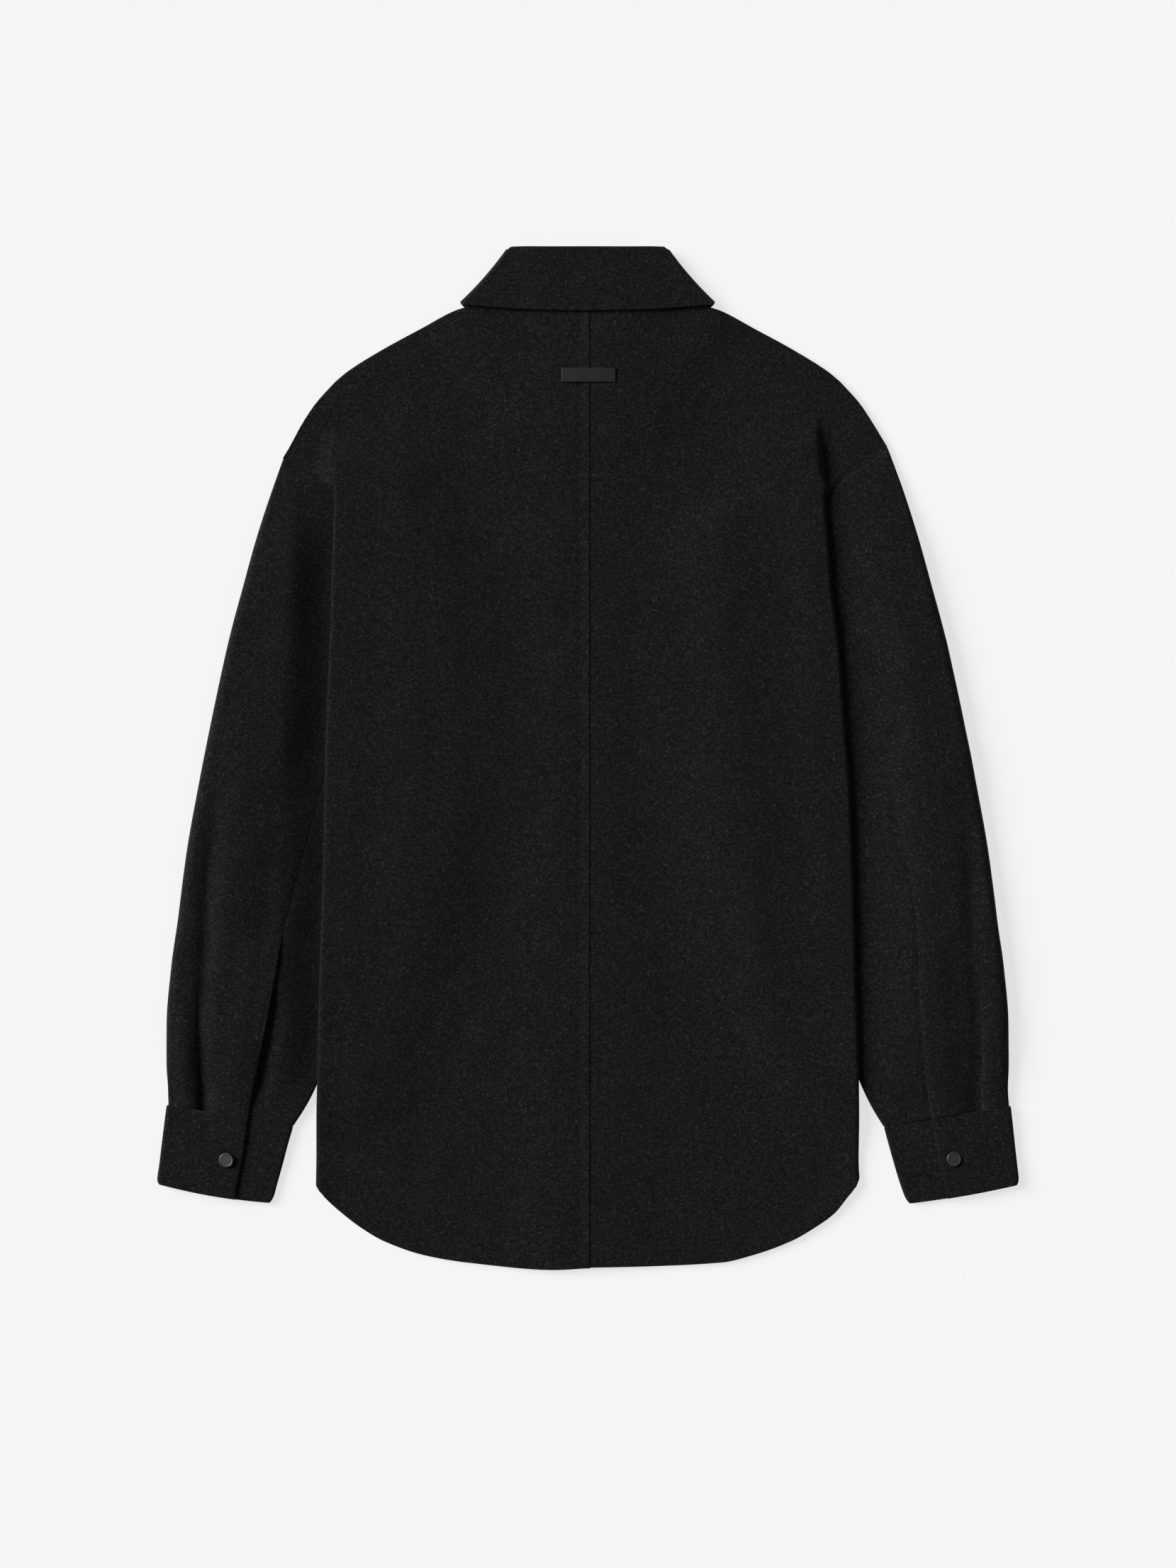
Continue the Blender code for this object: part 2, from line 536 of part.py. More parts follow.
def inner_sleeve(side):
    """From the elbow seam on top, round the inner fold, to the front seam underneath."""
    grid = []
    for row in sleeve_rows(side):
        inner, across, width = row_frame(row)
        elbow = elbow_distance(row)
        y_elbow = inner[1] + across[1] * elbow
        lap = SLIT_LAP * (1 - smooth(y_elbow, SLIT_FULL, SLIT_STARTS))
        start = elbow - GAP / 2 + lap
        end = CLOTH / 2 + (SLEEVE_TOP - FLOOR_LEVEL) / 2
        points = []
        for share in (0, 0.2, 0.45, 0.72):
            distance = start + (end - start) * share
            points.append(sleeve_point(row, "top", distance, side))
        for k in range(ARC_STEPS + 1):
            points.append(sleeve_point(row, "inner", end, side, angle=90 - 180 * k / ARC_STEPS))
        seam = FRONT_SEAM_SHARE * width - GAP / 2
        for share in (0.5, 1):
            points.append(sleeve_point(row, "bottom", end + (seam - end) * share, side))
        grid.append(points)
    return np.array(grid, float)


def make_sleeves():
    for side, sign in SIDES.items():
        wall(f"sleeve_{side}_outer", placed(outer_sleeve(side), sign), CLOTH, WOOL)
        wall(f"sleeve_{side}_inner", placed(inner_sleeve(side), sign), CLOTH, WOOL)


def cuff_grid(side):
    """From the edge that laps on top, round the outer fold and the inner fold, to the part underneath."""
    table = columns_of(CUFF[side])
    grid = []
    for i in range(len(CUFF[side])):
        row = {name: values[i] for name, values in table.items()}
        inner, across, width = row_frame(row)
        lap = (row["x_lap"] - inner[0]) / across[0]

        def spot(distance, level):
            share = np.clip(distance / width, 0, 1)
            plan = inner + across * distance
            return (plan[0], plan[1] - row["bow"] * 4 * share * (1 - share), level)

        outer_end = width - CUFF_CLOTH / 2 - 2.0
        points = [spot(lap, CUFF_LAP_TOP), spot(lap + CUFF_UNDERLAP * 0.5, CUFF_LAP_TOP),
                  spot(lap + CUFF_UNDERLAP + 3, CUFF_LAP_TOP),
                  spot((lap + CUFF_UNDERLAP + outer_end) / 2, (CUFF_LAP_TOP + CUFF_OUTER_TOP) / 2)]
        middle = (CUFF_OUTER_TOP + CUFF_BOTTOM) / 2
        radius = (CUFF_OUTER_TOP - CUFF_BOTTOM) / 2
        for k in range(ARC_STEPS + 1):
            angle = np.radians(90 - 180 * k / ARC_STEPS)
            points.append(spot(outer_end + radius * np.cos(angle), middle + radius * np.sin(angle)))
        points += [spot(width * 0.66, CUFF_BOTTOM), spot(width * 0.33, CUFF_BOTTOM)]
        middle = (CUFF_INNER_TOP + CUFF_BOTTOM) / 2
        radius = (CUFF_INNER_TOP - CUFF_BOTTOM) / 2
        inner_end = CUFF_CLOTH / 2 + radius
        for k in range(ARC_STEPS + 1):
            angle = np.radians(-90 - 180 * k / ARC_STEPS)
            points.append(spot(inner_end + radius * np.cos(angle), middle + radius * np.sin(angle)))
        for share in (0.5, 1):
            points.append(spot(inner_end + (lap + CUFF_UNDERLAP - inner_end) * share, CUFF_INNER_TOP))
        grid.append(points)
    return np.array(grid, float)


def make_cuffs():
    for side, sign in SIDES.items():
        wall(f"cuff_{side}", placed(cuff_grid(side), sign), CUFF_CLOTH, CUFF_WOOL)


def collar_rows(side):
    """The collar's stations with the way that its outer face points."""
    for row in COLLAR:
        turn = np.radians(row.turn)
        out = np.cos(turn) * COLLAR_SIDE + np.array([0, 0, np.sin(turn)])
        middle = FLOOR_LEVEL + COLLAR_FOLD
        if row.turn == 90:
            rise = 1.6 * (1 - smooth(abs(row.x_roll), 15, 62))
            neck_line = NECK_AND_SHOULDER
        else:
            rise = 0.0
            neck_line = FRONT_NECK_AND_SHOULDER
        up = np.array([0, 0, rise])
        y_neck = outline(row.x_neck, neck_line) + NECK_GAP
        roll = np.array([row.x_roll, row.y_roll, middle]) + COLLAR_FOLD * out + up
        edge = np.array([row.x_edge, row.y_edge, middle]) + COLLAR_FOLD * out + up
        reach = COLLAR_FOLD - 2 * COLLAR_ROLL
        neck = np.array([row.x_neck, y_neck, middle]) + reach * out + up
        yield out, roll, edge, neck


def collar_grids():
    """The fall's rows run from its edge up over the roll, the stand's from below the roll to the neck."""
    fall, stand = [], []
    for out, roll, edge, neck in collar_rows("right"):
        down = edge - roll
        down[2] = 0
        down = down / np.linalg.norm(down)
        centre = roll - COLLAR_ROLL * out
        across = np.array([-down[1], down[0], 0])
        bow = -COLLAR_BOW * smooth(edge[0], 62, 103)
        points = [edge + (roll - edge) * share + across * bow * 4 * share * (1 - share)
                  for share in (0, 0.25, 0.5, 0.75, 0.9, 1)]
        for k in range(1, ARC_STEPS + 1):
            angle = np.pi * k / ARC_STEPS
            points.append(centre + COLLAR_ROLL * (np.cos(angle) * out - np.sin(angle) * down))
        fall.append(points)
        top = centre - COLLAR_ROLL * out + down * STAND_DROP
        stand.append([neck + (top - neck) * share for share in (0, 0.5, 1)])
    return np.array(fall), np.array(stand)


def make_collar():
    mirror = np.array([-1, 1, 1])
    for name, half in zip(("collar_fall", "collar_stand"), collar_grids()):
        whole = np.concatenate([half, (half * mirror)[-2::-1]], axis=0)
        wall(name, whole, CLOTH, WOOL)


def make_tab():
    """A thin plate that follows the back across its centre seam."""
    columns, rows = 12, 5
    x_middle, y_middle = TAB_CENTRE
    x = x_middle + np.linspace(-TAB_WIDTH / 2, TAB_WIDTH / 2, columns)
    y = y_middle + np.linspace(-TAB_HEIGHT / 2, TAB_HEIGHT / 2, rows)
    plan_x, plan_y = np.meshgrid(x, y)
    side_level = back_level(np.abs(plan_x), plan_y, "right") - ridges(np.abs(plan_x), plan_y)
    level = side_level + ridges(plan_x, plan_y) + CLOTH / 2 + SEAM_BAND_RAISE + GAP + TAB_THICKNESS / 2
    wall("back_tab", np.stack([plan_x, plan_y, level], axis=2), TAB_THICKNESS, TAB_GREY, roughness=0.5)


def make_snaps():
    """Low turned caps, each seated on its cuff."""
    profile = [(0.0, 0.0), (0.86, 0.0), (1.0, 0.25), (1.0, 0.55), (0.9, 0.85), (0.62, 1.0), (0.0, 1.0)]
    steps = 24
    for side, sign in SIDES.items():
        place = SNAP_PLACE[side]
        base = CUFF_LAP_TOP + CUFF_CLOTH / 2 + GAP
        points = [(place.x * sign, place.y, base)]
        for share, height in profile[1:-1]:
            for k in range(steps):
                angle = 2 * np.pi * k / steps
                reach = share * SNAP_DIAMETER / 2
                points.append((place.x * sign + reach * np.cos(angle), place.y + reach * np.sin(angle),
                               base + height * SNAP_HEIGHT))
        points.append((place.x * sign, place.y, base + SNAP_HEIGHT))
        rings = len(profile) - 2
        faces = [(0, 1 + (k + 1) % steps, 1 + k) for k in range(steps)]
        for ring in range(rings - 1):
            low = 1 + ring * steps
            for k in range(steps):
                after = (k + 1) % steps
                faces.append((low + k, low + after, low + steps + after, low + steps + k))
        last = 1 + (rings - 1) * steps
        faces += [(last + k, last + (k + 1) % steps, len(points) - 1) for k in range(steps)]
        add_mesh(f"cuff_snap_{side}", np.array(points) * MM, faces, SNAP_METAL, 0.45, 0.8)


def main():
    for obj in list(bpy.data.objects):
        bpy.data.objects.remove(obj)
    make_body()
    make_sleeves()
    make_cuffs()
    make_collar()
    make_tab()
    make_snaps()


main()
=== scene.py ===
"""The looks of the laid-out overshirt of black double-faced wool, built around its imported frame.

Each wall repeats its solid's construction with finer rows and columns, rounded edges and soft relief.
Tables are in millimetres and give each side's distances outward from the centre, with the wearer's left
at -X. Signed tables say so.
"""

from collections import namedtuple

import bpy
import numpy as np
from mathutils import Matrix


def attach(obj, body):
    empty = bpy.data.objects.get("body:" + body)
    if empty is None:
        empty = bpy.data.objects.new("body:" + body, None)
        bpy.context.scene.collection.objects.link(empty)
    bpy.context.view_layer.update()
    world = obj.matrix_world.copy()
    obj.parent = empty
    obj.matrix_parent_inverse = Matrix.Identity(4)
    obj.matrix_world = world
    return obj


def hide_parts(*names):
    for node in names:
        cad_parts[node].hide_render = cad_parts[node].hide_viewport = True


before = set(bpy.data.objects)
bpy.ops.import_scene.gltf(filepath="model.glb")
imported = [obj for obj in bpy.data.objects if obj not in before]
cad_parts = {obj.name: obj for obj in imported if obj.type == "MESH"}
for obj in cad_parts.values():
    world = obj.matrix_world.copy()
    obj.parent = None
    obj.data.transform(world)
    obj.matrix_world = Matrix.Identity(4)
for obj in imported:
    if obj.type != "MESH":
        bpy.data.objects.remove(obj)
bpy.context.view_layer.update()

# Driving dimensions in millimetres. Some of them are plainer in the solids.
MM = 0.001
CLOTH = 2.0
CUFF_CLOTH = 2.4
GAP = 0.3
PLY = CLOTH + GAP
SEAM_HALF_GAP = GAP / 2 + 0.2
FLOOR_LEVEL = CLOTH / 2
SLEEVE_TOP = 4.0
SLEEVE_CREST = 1.2
CUFF_END_RISE = 1.1
BODY_LIFT = 5.4
HEM_LIFT = (-345.0, -292.0)
LIFT_HOLDS = 7.0
FRONT_RAMP = (-72.0, -34.0)
BACK_RAMP = (-112.0, -34.0)
EDGE_ROLL = 2.6
EDGE_PUFF = 1.3
EDGE_PUFF_WIDTH = 13.0
BODY_TAPER = 0.3
LEAF_PLY = PLY + 0.3
LEAF_EDGE_X = 48.0
LEAF_EDGE_Y = 290.0
LEAF_SLOPE = 0.632
LEAF_STARTS = (246.0, 284.0)
LEAF_FADES = (5.0, 50.0)
PLACKET_LAP = 15.0
FRONT_LAP_FADES = (PLACKET_LAP + 3, 52.0)
BACK_LAP_FADES = (PLACKET_LAP + 5, 78.0)
FRONT_HEM_RISE = 6.0
FRONT_HEM_FADES = (-430.0, -330.0)
FRONT_SIDE_FADES = (190.0, 222.0)
SEAM_X = 1.8
SEAM_BAND_WIDTH = 7.0
SEAM_BAND_RAISE = 0.5
SEAM_BAND_GROOVE = 0.5
SEAM_BAND_FLAT = 0.15
SEAM_GROOVE_SHIFT = 1.4
SEAM_GROOVE_WIDTH = 1.6
SIDES = {"left": -1, "right": 1}

# How fine the walls are
BACK_SPACING = 2.8
FRONT_SPACING = 6.0
SLEEVE_SPACING = 3.0
CUFF_SPACING = 2.0
COLLAR_SPACING = 2.2
ARC_STEPS = 12
TOP_COLUMNS = 26
PLEAT_COLUMNS = 7
FOLD_COLUMNS = 10
UNDER_COLUMNS = 14
INNER_TOP_COLUMNS = 24
INNER_UNDER_COLUMNS = 8
CUFF_TOP_COLUMNS = 34
CUFF_UNDER_COLUMNS = 24
FALL_ROWS = 26
STAND_ROWS = 12
EDGE_LINES = (0.1, 0.3, 0.6, 1.0)
EDGE_ROOM = 1.3
RIM_REACH = 0.35
RIM_SHARE = 0.14

# Outlines, from the centre outwards
Point = namedtuple("Point", "x y")
HEM = {
    "left": [Point(0, -431.5), Point(29, -433), Point(102, -427), Point(137.4, -421), Point(172.2, -409),
             Point(192.6, -397), Point(208.2, -385), Point(221.4, -373), Point(226, -367.5),
             Point(230, -361)],
    "right": [Point(0, -431), Point(54.6, -430), Point(113.4, -427), Point(139.2, -421), Point(172.2, -409),
              Point(193.2, -397), Point(209.4, -385), Point(219, -373), Point(226, -364), Point(230, -355)],
}
SHOULDER = [Point(85, 396), Point(93, 384), Point(103, 380.2), Point(112, 377.2), Point(141, 362.1),
            Point(174, 344.1), Point(202.8, 326.1), Point(213.6, 317.1)]
BACK_NECK = [Point(0, 389), Point(30, 389.5), Point(60, 391.5)]
FRONT_NECK = [Point(0, 322), Point(30, 326), Point(58, 345), Point(76, 371)]
NECK_AND_SHOULDER = BACK_NECK + SHOULDER
FRONT_NECK_AND_SHOULDER = FRONT_NECK + SHOULDER
SHOULDER_END = {
    "left": [Point(213.6, 317.1), Point(229.8, 299.1), Point(241.8, 281.1), Point(251.4, 263.1),
             Point(257.4, 253)],
    "right": [Point(213.6, 317.1), Point(229.8, 299.1), Point(241.8, 281.1), Point(248.5, 270),
              Point(253, 262.6)],
}

# The body's outer edge: the crest of its side fold, and its side seam or armhole seam
Edge = namedtuple("Edge", "x_fold y_fold x_side y_side")
BODY_EDGE = {
    "left": [
        Edge(225.8, -367.5, 229.8, -361), Edge(225.6, -345, 229.5, -342), Edge(225.2, -310, 229.2, -308),
        Edge(224.2, -262, 228.2, -262), Edge(222.3, -179, 226.3, -179), Edge(219.5, -97, 223.5, -97),
        Edge(218.1, -22, 222.1, -22), Edge(216.2, 41, 220.2, 41), Edge(213.8, 97, 217.8, 97),
        Edge(212.2, 143, 216.2, 143), Edge(210.8, 189, 214.8, 189), Edge(209.6, 215, 213.6, 215),
        Edge(209.4, 229, 214.2, 229), Edge(210.6, 240, 222, 232.2), Edge(210.7, 250, 230, 237.4),
        Edge(210.2, 262, 240, 243), Edge(209.5, 278, 248, 247), Edge(209.8, 290, 253, 249.8),
        Edge(211, 303, 256, 251.8), Edge(213.6, 317.1, 257.4, 253),
    ],
    "right": [
        Edge(225.8, -364, 230, -355), Edge(225.2, -343, 229.2, -340), Edge(225.4, -310, 229.4, -308),
        Edge(224.8, -262, 228.8, -262), Edge(222.3, -179, 226.3, -179), Edge(220.1, -97, 224.1, -97),
        Edge(217, -22, 221, -22), Edge(212, 41, 216.2, 41), Edge(208, 97, 212, 97),
        Edge(202, 143, 206, 143), Edge(198.6, 189, 202.8, 189), Edge(196.6, 208, 200.8, 208),
        Edge(195.8, 221, 200.2, 221), Edge(195.4, 233, 209, 229.4), Edge(194.8, 243, 218, 237.4),
        Edge(193.6, 256, 231, 245.8), Edge(191.8, 271, 241, 253.2), Edge(193, 286, 247, 256.6),
        Edge(200, 303, 250.6, 259.6), Edge(213.6, 317.1, 253, 262.6),
    ],
}
CROSSING = {"left": 229.0, "right": 221.0}
STEP_FADES = {"left": 284.0, "right": 286.0}
BACK_STEP_HOLDS = {"left": 232.0, "right": 260.0}
STEP_WIDTH = {"left": 26.0, "right": 7.0}
STEP_EASE = 1.6
BACK_STEP_TAIL = 6.0
FRONT_STEP = (-11.0, -1.0)
FLAT_ROWS = {"back": (-1.0, 18.0), "front": (-16.0, -2.0)}

# How full each sleeve is: its rise beyond the body, and how far from the body it starts and ends
Fullness = namedtuple("Fullness", "rise start end")
SLEEVE_FULLNESS = {"left": Fullness(10.8, 0, 38), "right": Fullness(7.4, 10, 60)}
CUFF_END_FADES = (-298.0, -225.0)
FULL_FADES = (150.0, 256.0)
CREST_INSET = 42.0
CREST_WIDTH = 26.0

# Sleeves from the armhole to the cuff: outer fold, inner fold and the elbow seam on top
Sleeve = namedtuple("Sleeve", "x_outer y_outer x_inner y_inner x_elbow")
SLEEVE = {
    "left": [
        Sleeve(257.8, 252.3, 172, 189.5, 201), Sleeve(268.8, 221.1, 168, 150, 203),
        Sleeve(278.4, 191.1, 160, 112, 206), Sleeve(291, 146, 152, 70, 210),
        Sleeve(303, 101.1, 147, 28, 214), Sleeve(316.2, 41.1, 149, -22, 219),
        Sleeve(328.2, -18.9, 160, -72, 231.8), Sleeve(339, -78.9, 176, -122, 246),
        Sleeve(346.8, -138.9, 194, -174, 259.2), Sleeve(352.5, -180, 207, -212, 266.4),
        Sleeve(356, -222, 219, -248, 273.8), Sleeve(356.4, -258, 230, -279, 280.8),
        Sleeve(355.4, -278, 239, -296, 284.5), Sleeve(355, -293.6, 249, -311.2, 286.9),
    ],
    "right": [
        Sleeve(253.8, 260.4, 165, 191, 190), Sleeve(268.8, 221.1, 163, 152, 194),
        Sleeve(278.4, 191.1, 156, 114, 197), Sleeve(291, 146, 150, 72, 201),
        Sleeve(303, 101.1, 144, 30, 207), Sleeve(316.2, 41.1, 148, -20, 237.5),
        Sleeve(328.2, -18.9, 160, -70, 257.5), Sleeve(339, -78.9, 176, -122, 270.4),
        Sleeve(346.8, -138.9, 194, -174, 278), Sleeve(352.5, -180, 207, -212, 280),
        Sleeve(356, -222, 220, -248, 283), Sleeve(356.4, -258, 232.5, -280, 286.3),
        Sleeve(355.8, -278, 241, -297, 288.4), Sleeve(356.8, -294.4, 250.2, -311.9, 291.3),
    ],
}
FRONT_SEAM_SHARE = 0.3
OUTER_FOLD_REACH = 5.0
FOLD_INSET = 0.5
HEAD_HIDDEN_SHARE = 0.45
HEAD_GAP = 0.3
HEAD_BEND_LENGTH = 60.0
HEAD_BEND_HIDDEN = 24.0
HEAD_TUCK = 8.0
HEAD_TUCK_SHIFT = 1.0
HEAD_TUCK_WIDTH = 7.0
ARMHOLE_GROOVE = 1.4
ARMHOLE_GROOVE_WIDTH = 2.0
ARMHOLE_GROOVE_START = 6.0
ELBOW_GROOVE = 0.8
ELBOW_GROOVE_WIDTH = 2.6
PLEAT_INSET = {"left": 26.0, "right": 22.5}
PLEAT_WIDTH = 1.8
PLEAT_HEIGHT = {"left": 2.6, "right": 1.5}
PLEAT_TROUGH = {"left": 4.0, "right": 2.4}
TROUGH_INSET = 4.0
TROUGH_SHIFT = 8.0
TROUGH_TURNS = (-200.0, -80.0)
TROUGH_WIDTH = 8.0
TROUGH_FADES = (-110.0, -10.0)
FLAP_FADES = (8.0, 24.0)
PLEAT_STARTS = -185.0
PLEAT_FULL = -280.0
SLIT_RISE_STARTS = -145.0
SLIT_STARTS = -176.0
SLIT_FULL = -205.0
SLIT_LAP = 12.0
SLIT_RISE = PLY + 0.5
SLIT_HOLLOW = {"left": 4.2, "right": 0.8}
SLIT_HOLLOW_STARTS = (-298.0, -272.0)
SLIT_HOLLOW_ENDS = (-225.0, -180.0)
SLIT_HOLLOW_WIDTH = 12.0
SLIT_RISE_OVERLAP = 5.0
SLIT_RISE_FADES = (14.0, 38.0)

# Cuffs from the sleeve's end to the lower edge: outer fold, inner fold and the edge that laps on top
Cuff = namedtuple("Cuff", "x_outer y_outer x_inner y_inner x_lap bow")
CUFF = {
    "left": [
        Cuff(355.6, -294.0, 248.8, -311.6, 287.2, 0), Cuff(357.9, -312, 253.6, -328, 289.3, 0.4),
        Cuff(359.9, -328, 257.8, -344, 292.2, 0.9), Cuff(361.8, -344, 262.3, -360, 295.6, 1.5),
        Cuff(363.4, -356, 265.6, -371.5, 297.8, 2), Cuff(362.3, -360.6, 268.6, -376.4, 298.2, 2.2),
    ],
    "right": [
        Cuff(357.4, -294.8, 250.4, -312.3, 291.2, 0), Cuff(359.3, -312, 254.8, -328.5, 293.8, 0.4),
        Cuff(361, -328, 259.3, -344.5, 297, 0.8), Cuff(362.8, -344, 264.2, -360.5, 300.6, 1),
        Cuff(364.1, -356, 268.8, -372.5, 303.4, 1.2), Cuff(363.2, -361.2, 272, -377, 304.5, 1.2),
    ],
}
CUFF_UNDERLAP = 27.0
CUFF_PLY = CUFF_CLOTH + GAP
CUFF_BOTTOM = CUFF_CLOTH / 2
CUFF_INNER_TOP = CUFF_BOTTOM + CUFF_PLY + 0.2
CUFF_LAP_TOP = CUFF_INNER_TOP + CUFF_PLY + 0.1
CUFF_OUTER_TOP = 6.1
CUFF_TAPER = 2.4
CUFF_FOLD_REACH = 2.0
CUFF_FALL = (-2.0, 4.0)
CUFF_WAVE_SHARE = 0.8

# The collar from the centre front, round the side fold, to the centre back: the roll line at its top,
# the fall's outer edge and the neck seam's x. The turn is the way that the cloth faces there, in degrees.
Collar = namedtuple("Collar", "turn x_roll y_roll x_edge y_edge x_neck")
COLLAR = [
    Collar(-90, 3, 347, 48, 290, 4), Collar(-90, 18, 348.5, 58, 303, 18), Collar(-90, 34, 356, 69, 322, 34),
    Collar(-90, 47, 372, 82, 343, 53), Collar(-90, 55, 396, 94, 364, 66), Collar(-90, 60, 418, 101, 377, 77),
    Collar(-90, 64.4, 425, 103.8, 380.7, 81), Collar(-45, 65.5, 425, 104, 381, 82),
    Collar(0, 65.5, 425, 103.8, 381.4, 82), Collar(45, 65.5, 425.6, 104.2, 380.9, 82),
    Collar(90, 65.4, 429.1, 104.4, 381.9, 81), Collar(90, 53.5, 429.5, 84, 380.5, 66),
    Collar(90, 36, 429.3, 57, 378.6, 46), Collar(90, 18, 429.2, 30, 377.7, 24),
    Collar(90, 0, 429.2, 0, 377.3, 0),
]
COLLAR_FOLD = 4.3
COLLAR_ROLL = 1.25
COLLAR_BOW = 1.4
COLLAR_BOW_STARTS = (62.0, 103.0)
COLLAR_RISE = 1.6
COLLAR_RISE_TURNS = (60.0, 90.0)
COLLAR_RISE_FADES = (15.0, 62.0)
COLLAR_BEHIND = (-45.0, 45.0)
NECK_GAP = 1.2
STAND_DROP = 1.4
COLLAR_SIDE = np.array([0.76, 0.65, 0])

# Soft folds, each a rounded ridge between two ends, with signed x, and how they fade along their length
Ridge = namedtuple("Ridge", "x_top y_top x_bottom y_bottom half_width height")
RIDGE_STARTS = (-0.22, 0.12)
RIDGE_ENDS = (0.88, 1.22)
BACK_RIDGES = [
    Ridge(-196, 250, -205, -200, 16, 1.2), Ridge(-154, 270, -152, -120, 24, 1.3),
    Ridge(100, 230, 150, -230, 24, 1.9), Ridge(184, 240, 206, -160, 15, 1.6),
    Ridge(62, 300, 70, 40, 26, 0.9),
]
BACK_HOLLOWS = [
    Ridge(-96, 240, -92, -120, 18, -0.6), Ridge(204, 278, 208, 238, 9, -1.0),
    Ridge(40, 280, 42, -110, 15, -0.6), Ridge(126, -40, 122, -230, 10, -0.4),
]
SLEEVE_FOLDS = [
    Ridge(-240, 235, -234, 110, 11, -0.9), Ridge(-290, 40, -306, -150, 17, 0.8),
    Ridge(-252, -20, -280, -240, 15, -2.0), Ridge(-232, -60, -242, -250, 12, 0.8),
    Ridge(254, 190, 262, -130, 15, -0.9), Ridge(300, 90, 322, -120, 18, 0.8),
    Ridge(306, -150, 312, -280, 12, -0.7),
]
COLLAR_DIMPLES = [
    Ridge(-18, 426, -10, 384, 13, -0.5), Ridge(36, 424, 60, 384, 15, -0.5),
]

# Waves that make cloth lie unevenly: their length, how high they stand and their own seed
Wave = namedtuple("Wave", "length height seed")
CLOTH_WAVES = [Wave(120, 0.22, 3), Wave(38, 0.13, 5), Wave(12, 0.05, 7)]
WAVES_IN_EACH = 26
WAVE_STRETCH = (0.75, 1.35)

# The tab and its stitches, and the snaps
TAB_CENTRE = Point(0.8, 322.9)
TAB_SIZE = Point(45, 11.6)
TAB_THICKNESS = 0.8
TAB_SPACING = 0.7
TAB_DROP = 0.45
TAB_BEND = (8.0, 22.0)
STITCH_INSET = Point(2.4, 2.3)
STITCH_LENGTH = 1.5
STITCH_RADIUS = 0.32
STITCH_ARCH = 0.12
SNAP_PLACE = {"left": Point(305.2, -340), "right": Point(309.3, -339.2)}
SNAP_DIAMETER = 12.5
SNAP_HEIGHT = 1.8
SNAP_STEPS = 72
SNAP_LEAN = 0.12
Ring = namedtuple("Ring", "reach height")
SNAP_PROFILE = [
    Ring(0.84, 0), Ring(0.93, 0.06), Ring(0.985, 0.2), Ring(1, 0.42), Ring(0.992, 0.62), Ring(0.965, 0.8),
    Ring(0.93, 0.93), Ring(0.89, 0.99), Ring(0.85, 1), Ring(0.82, 0.97), Ring(0.79, 0.92), Ring(0.74, 0.9),
    Ring(0.5, 0.9), Ring(0.25, 0.91),
]

# The fields of a cloth piece's flat cut in metres and square metres, and what it lies on; no cut is listed
# or used here
Cut = namedtuple("Cut", "width length area rests_on")

# Finishes in linear light
WOOL_DARK = (0.0012, 0.0012, 0.0012)
WOOL_LIGHT = (0.0055, 0.0055, 0.0055)
WOOL_FIBRE = (0.0335, 0.0335, 0.0335)
CUFF_DARK = (0.0012, 0.0012, 0.0017)
CUFF_LIGHT = (0.0054, 0.0055, 0.0062)
CUFF_FIBRE = (0.0345, 0.0355, 0.039)
TAB_DARK = (0.005, 0.005, 0.0051)
TAB_LIGHT = (0.0078, 0.0078, 0.0079)
THREAD = (0.002, 0.002, 0.0021)
SNAP_METAL = (0.058, 0.0555, 0.0515)
SNAP_WORN = (0.096, 0.092, 0.086)
FLOOR = (0.19, 0.19, 0.19)
FLOOR_GLOW = 0.703
FLOOR_DROP = 0.0002

# The studio
FIELD_HEIGHT = 1.3272
VIEW_CENTRE = (0.0003, -0.0225)
CAMERA_HEIGHT = 3.4
SENSOR = 36.0
FLOOR_SIZE = 14.0
FILL_STRENGTH = 0.24
KEY_FROM = (-0.93, 0.37, 0.54)
KEY_SPREAD = 32.0
KEY_STRENGTH = 5.7


def smooth(value, start, end):
    """A soft step from 0 at start to 1 at end."""
    share = np.clip((np.asarray(value, float) - start) / (end - start), 0, 1)
    return share * share * (3 - 2 * share)


def bell(value, middle, width):
    """A soft bump, 1 at its middle."""
    return np.exp(-((value - middle) / width) ** 2)


def curve(at, known, values):
    """A smooth curve through a table's values, which never swings past them."""
    known = np.asarray(known, float)
    values = np.asarray(values, float)
    slope = np.diff(values) / np.diff(known)
    inner = np.where(slope[:-1] * slope[1:] > 0,
                     2 * slope[:-1] * slope[1:] / (slope[:-1] + slope[1:] + 1e-12), 0)
    tangent = np.concatenate([slope[:1], inner, slope[-1:]])
    at = np.clip(np.asarray(at, float), known[0], known[-1])
    i = np.clip(np.searchsorted(known, at, side="right") - 1, 0, len(known) - 2)
    width = known[i + 1] - known[i]
    t = (at - known[i]) / width
    return ((1 + 2 * t) * (1 - t) ** 2 * values[i] + t * (1 - t) ** 2 * width * tangent[i]
            + t * t * (3 - 2 * t) * values[i + 1] + t * t * (t - 1) * width * tangent[i + 1])


def outline(at, points):
    """The y of an outline at some x."""
    return curve(at, [p.x for p in points], [p.y for p in points])


def fine_rows(rows, spacing, ends, least=1):
    """A table's columns by name, read often enough that neither end of a row moves further than spacing."""
    places = []
    for k, (here, there) in enumerate(zip(rows, rows[1:])):
        moved = max(np.hypot(getattr(there, "x_" + end) - getattr(here, "x_" + end),
                             getattr(there, "y_" + end) - getattr(here, "y_" + end)) for end in ends)
        count = max(least, int(np.ceil(moved / spacing)))
        places += list(k + np.arange(count) / count)
    places.append(len(rows) - 1)
    known = np.arange(len(rows))
    return {name: curve(places, known, [getattr(row, name) for row in rows]) for name in rows[0]._fields}


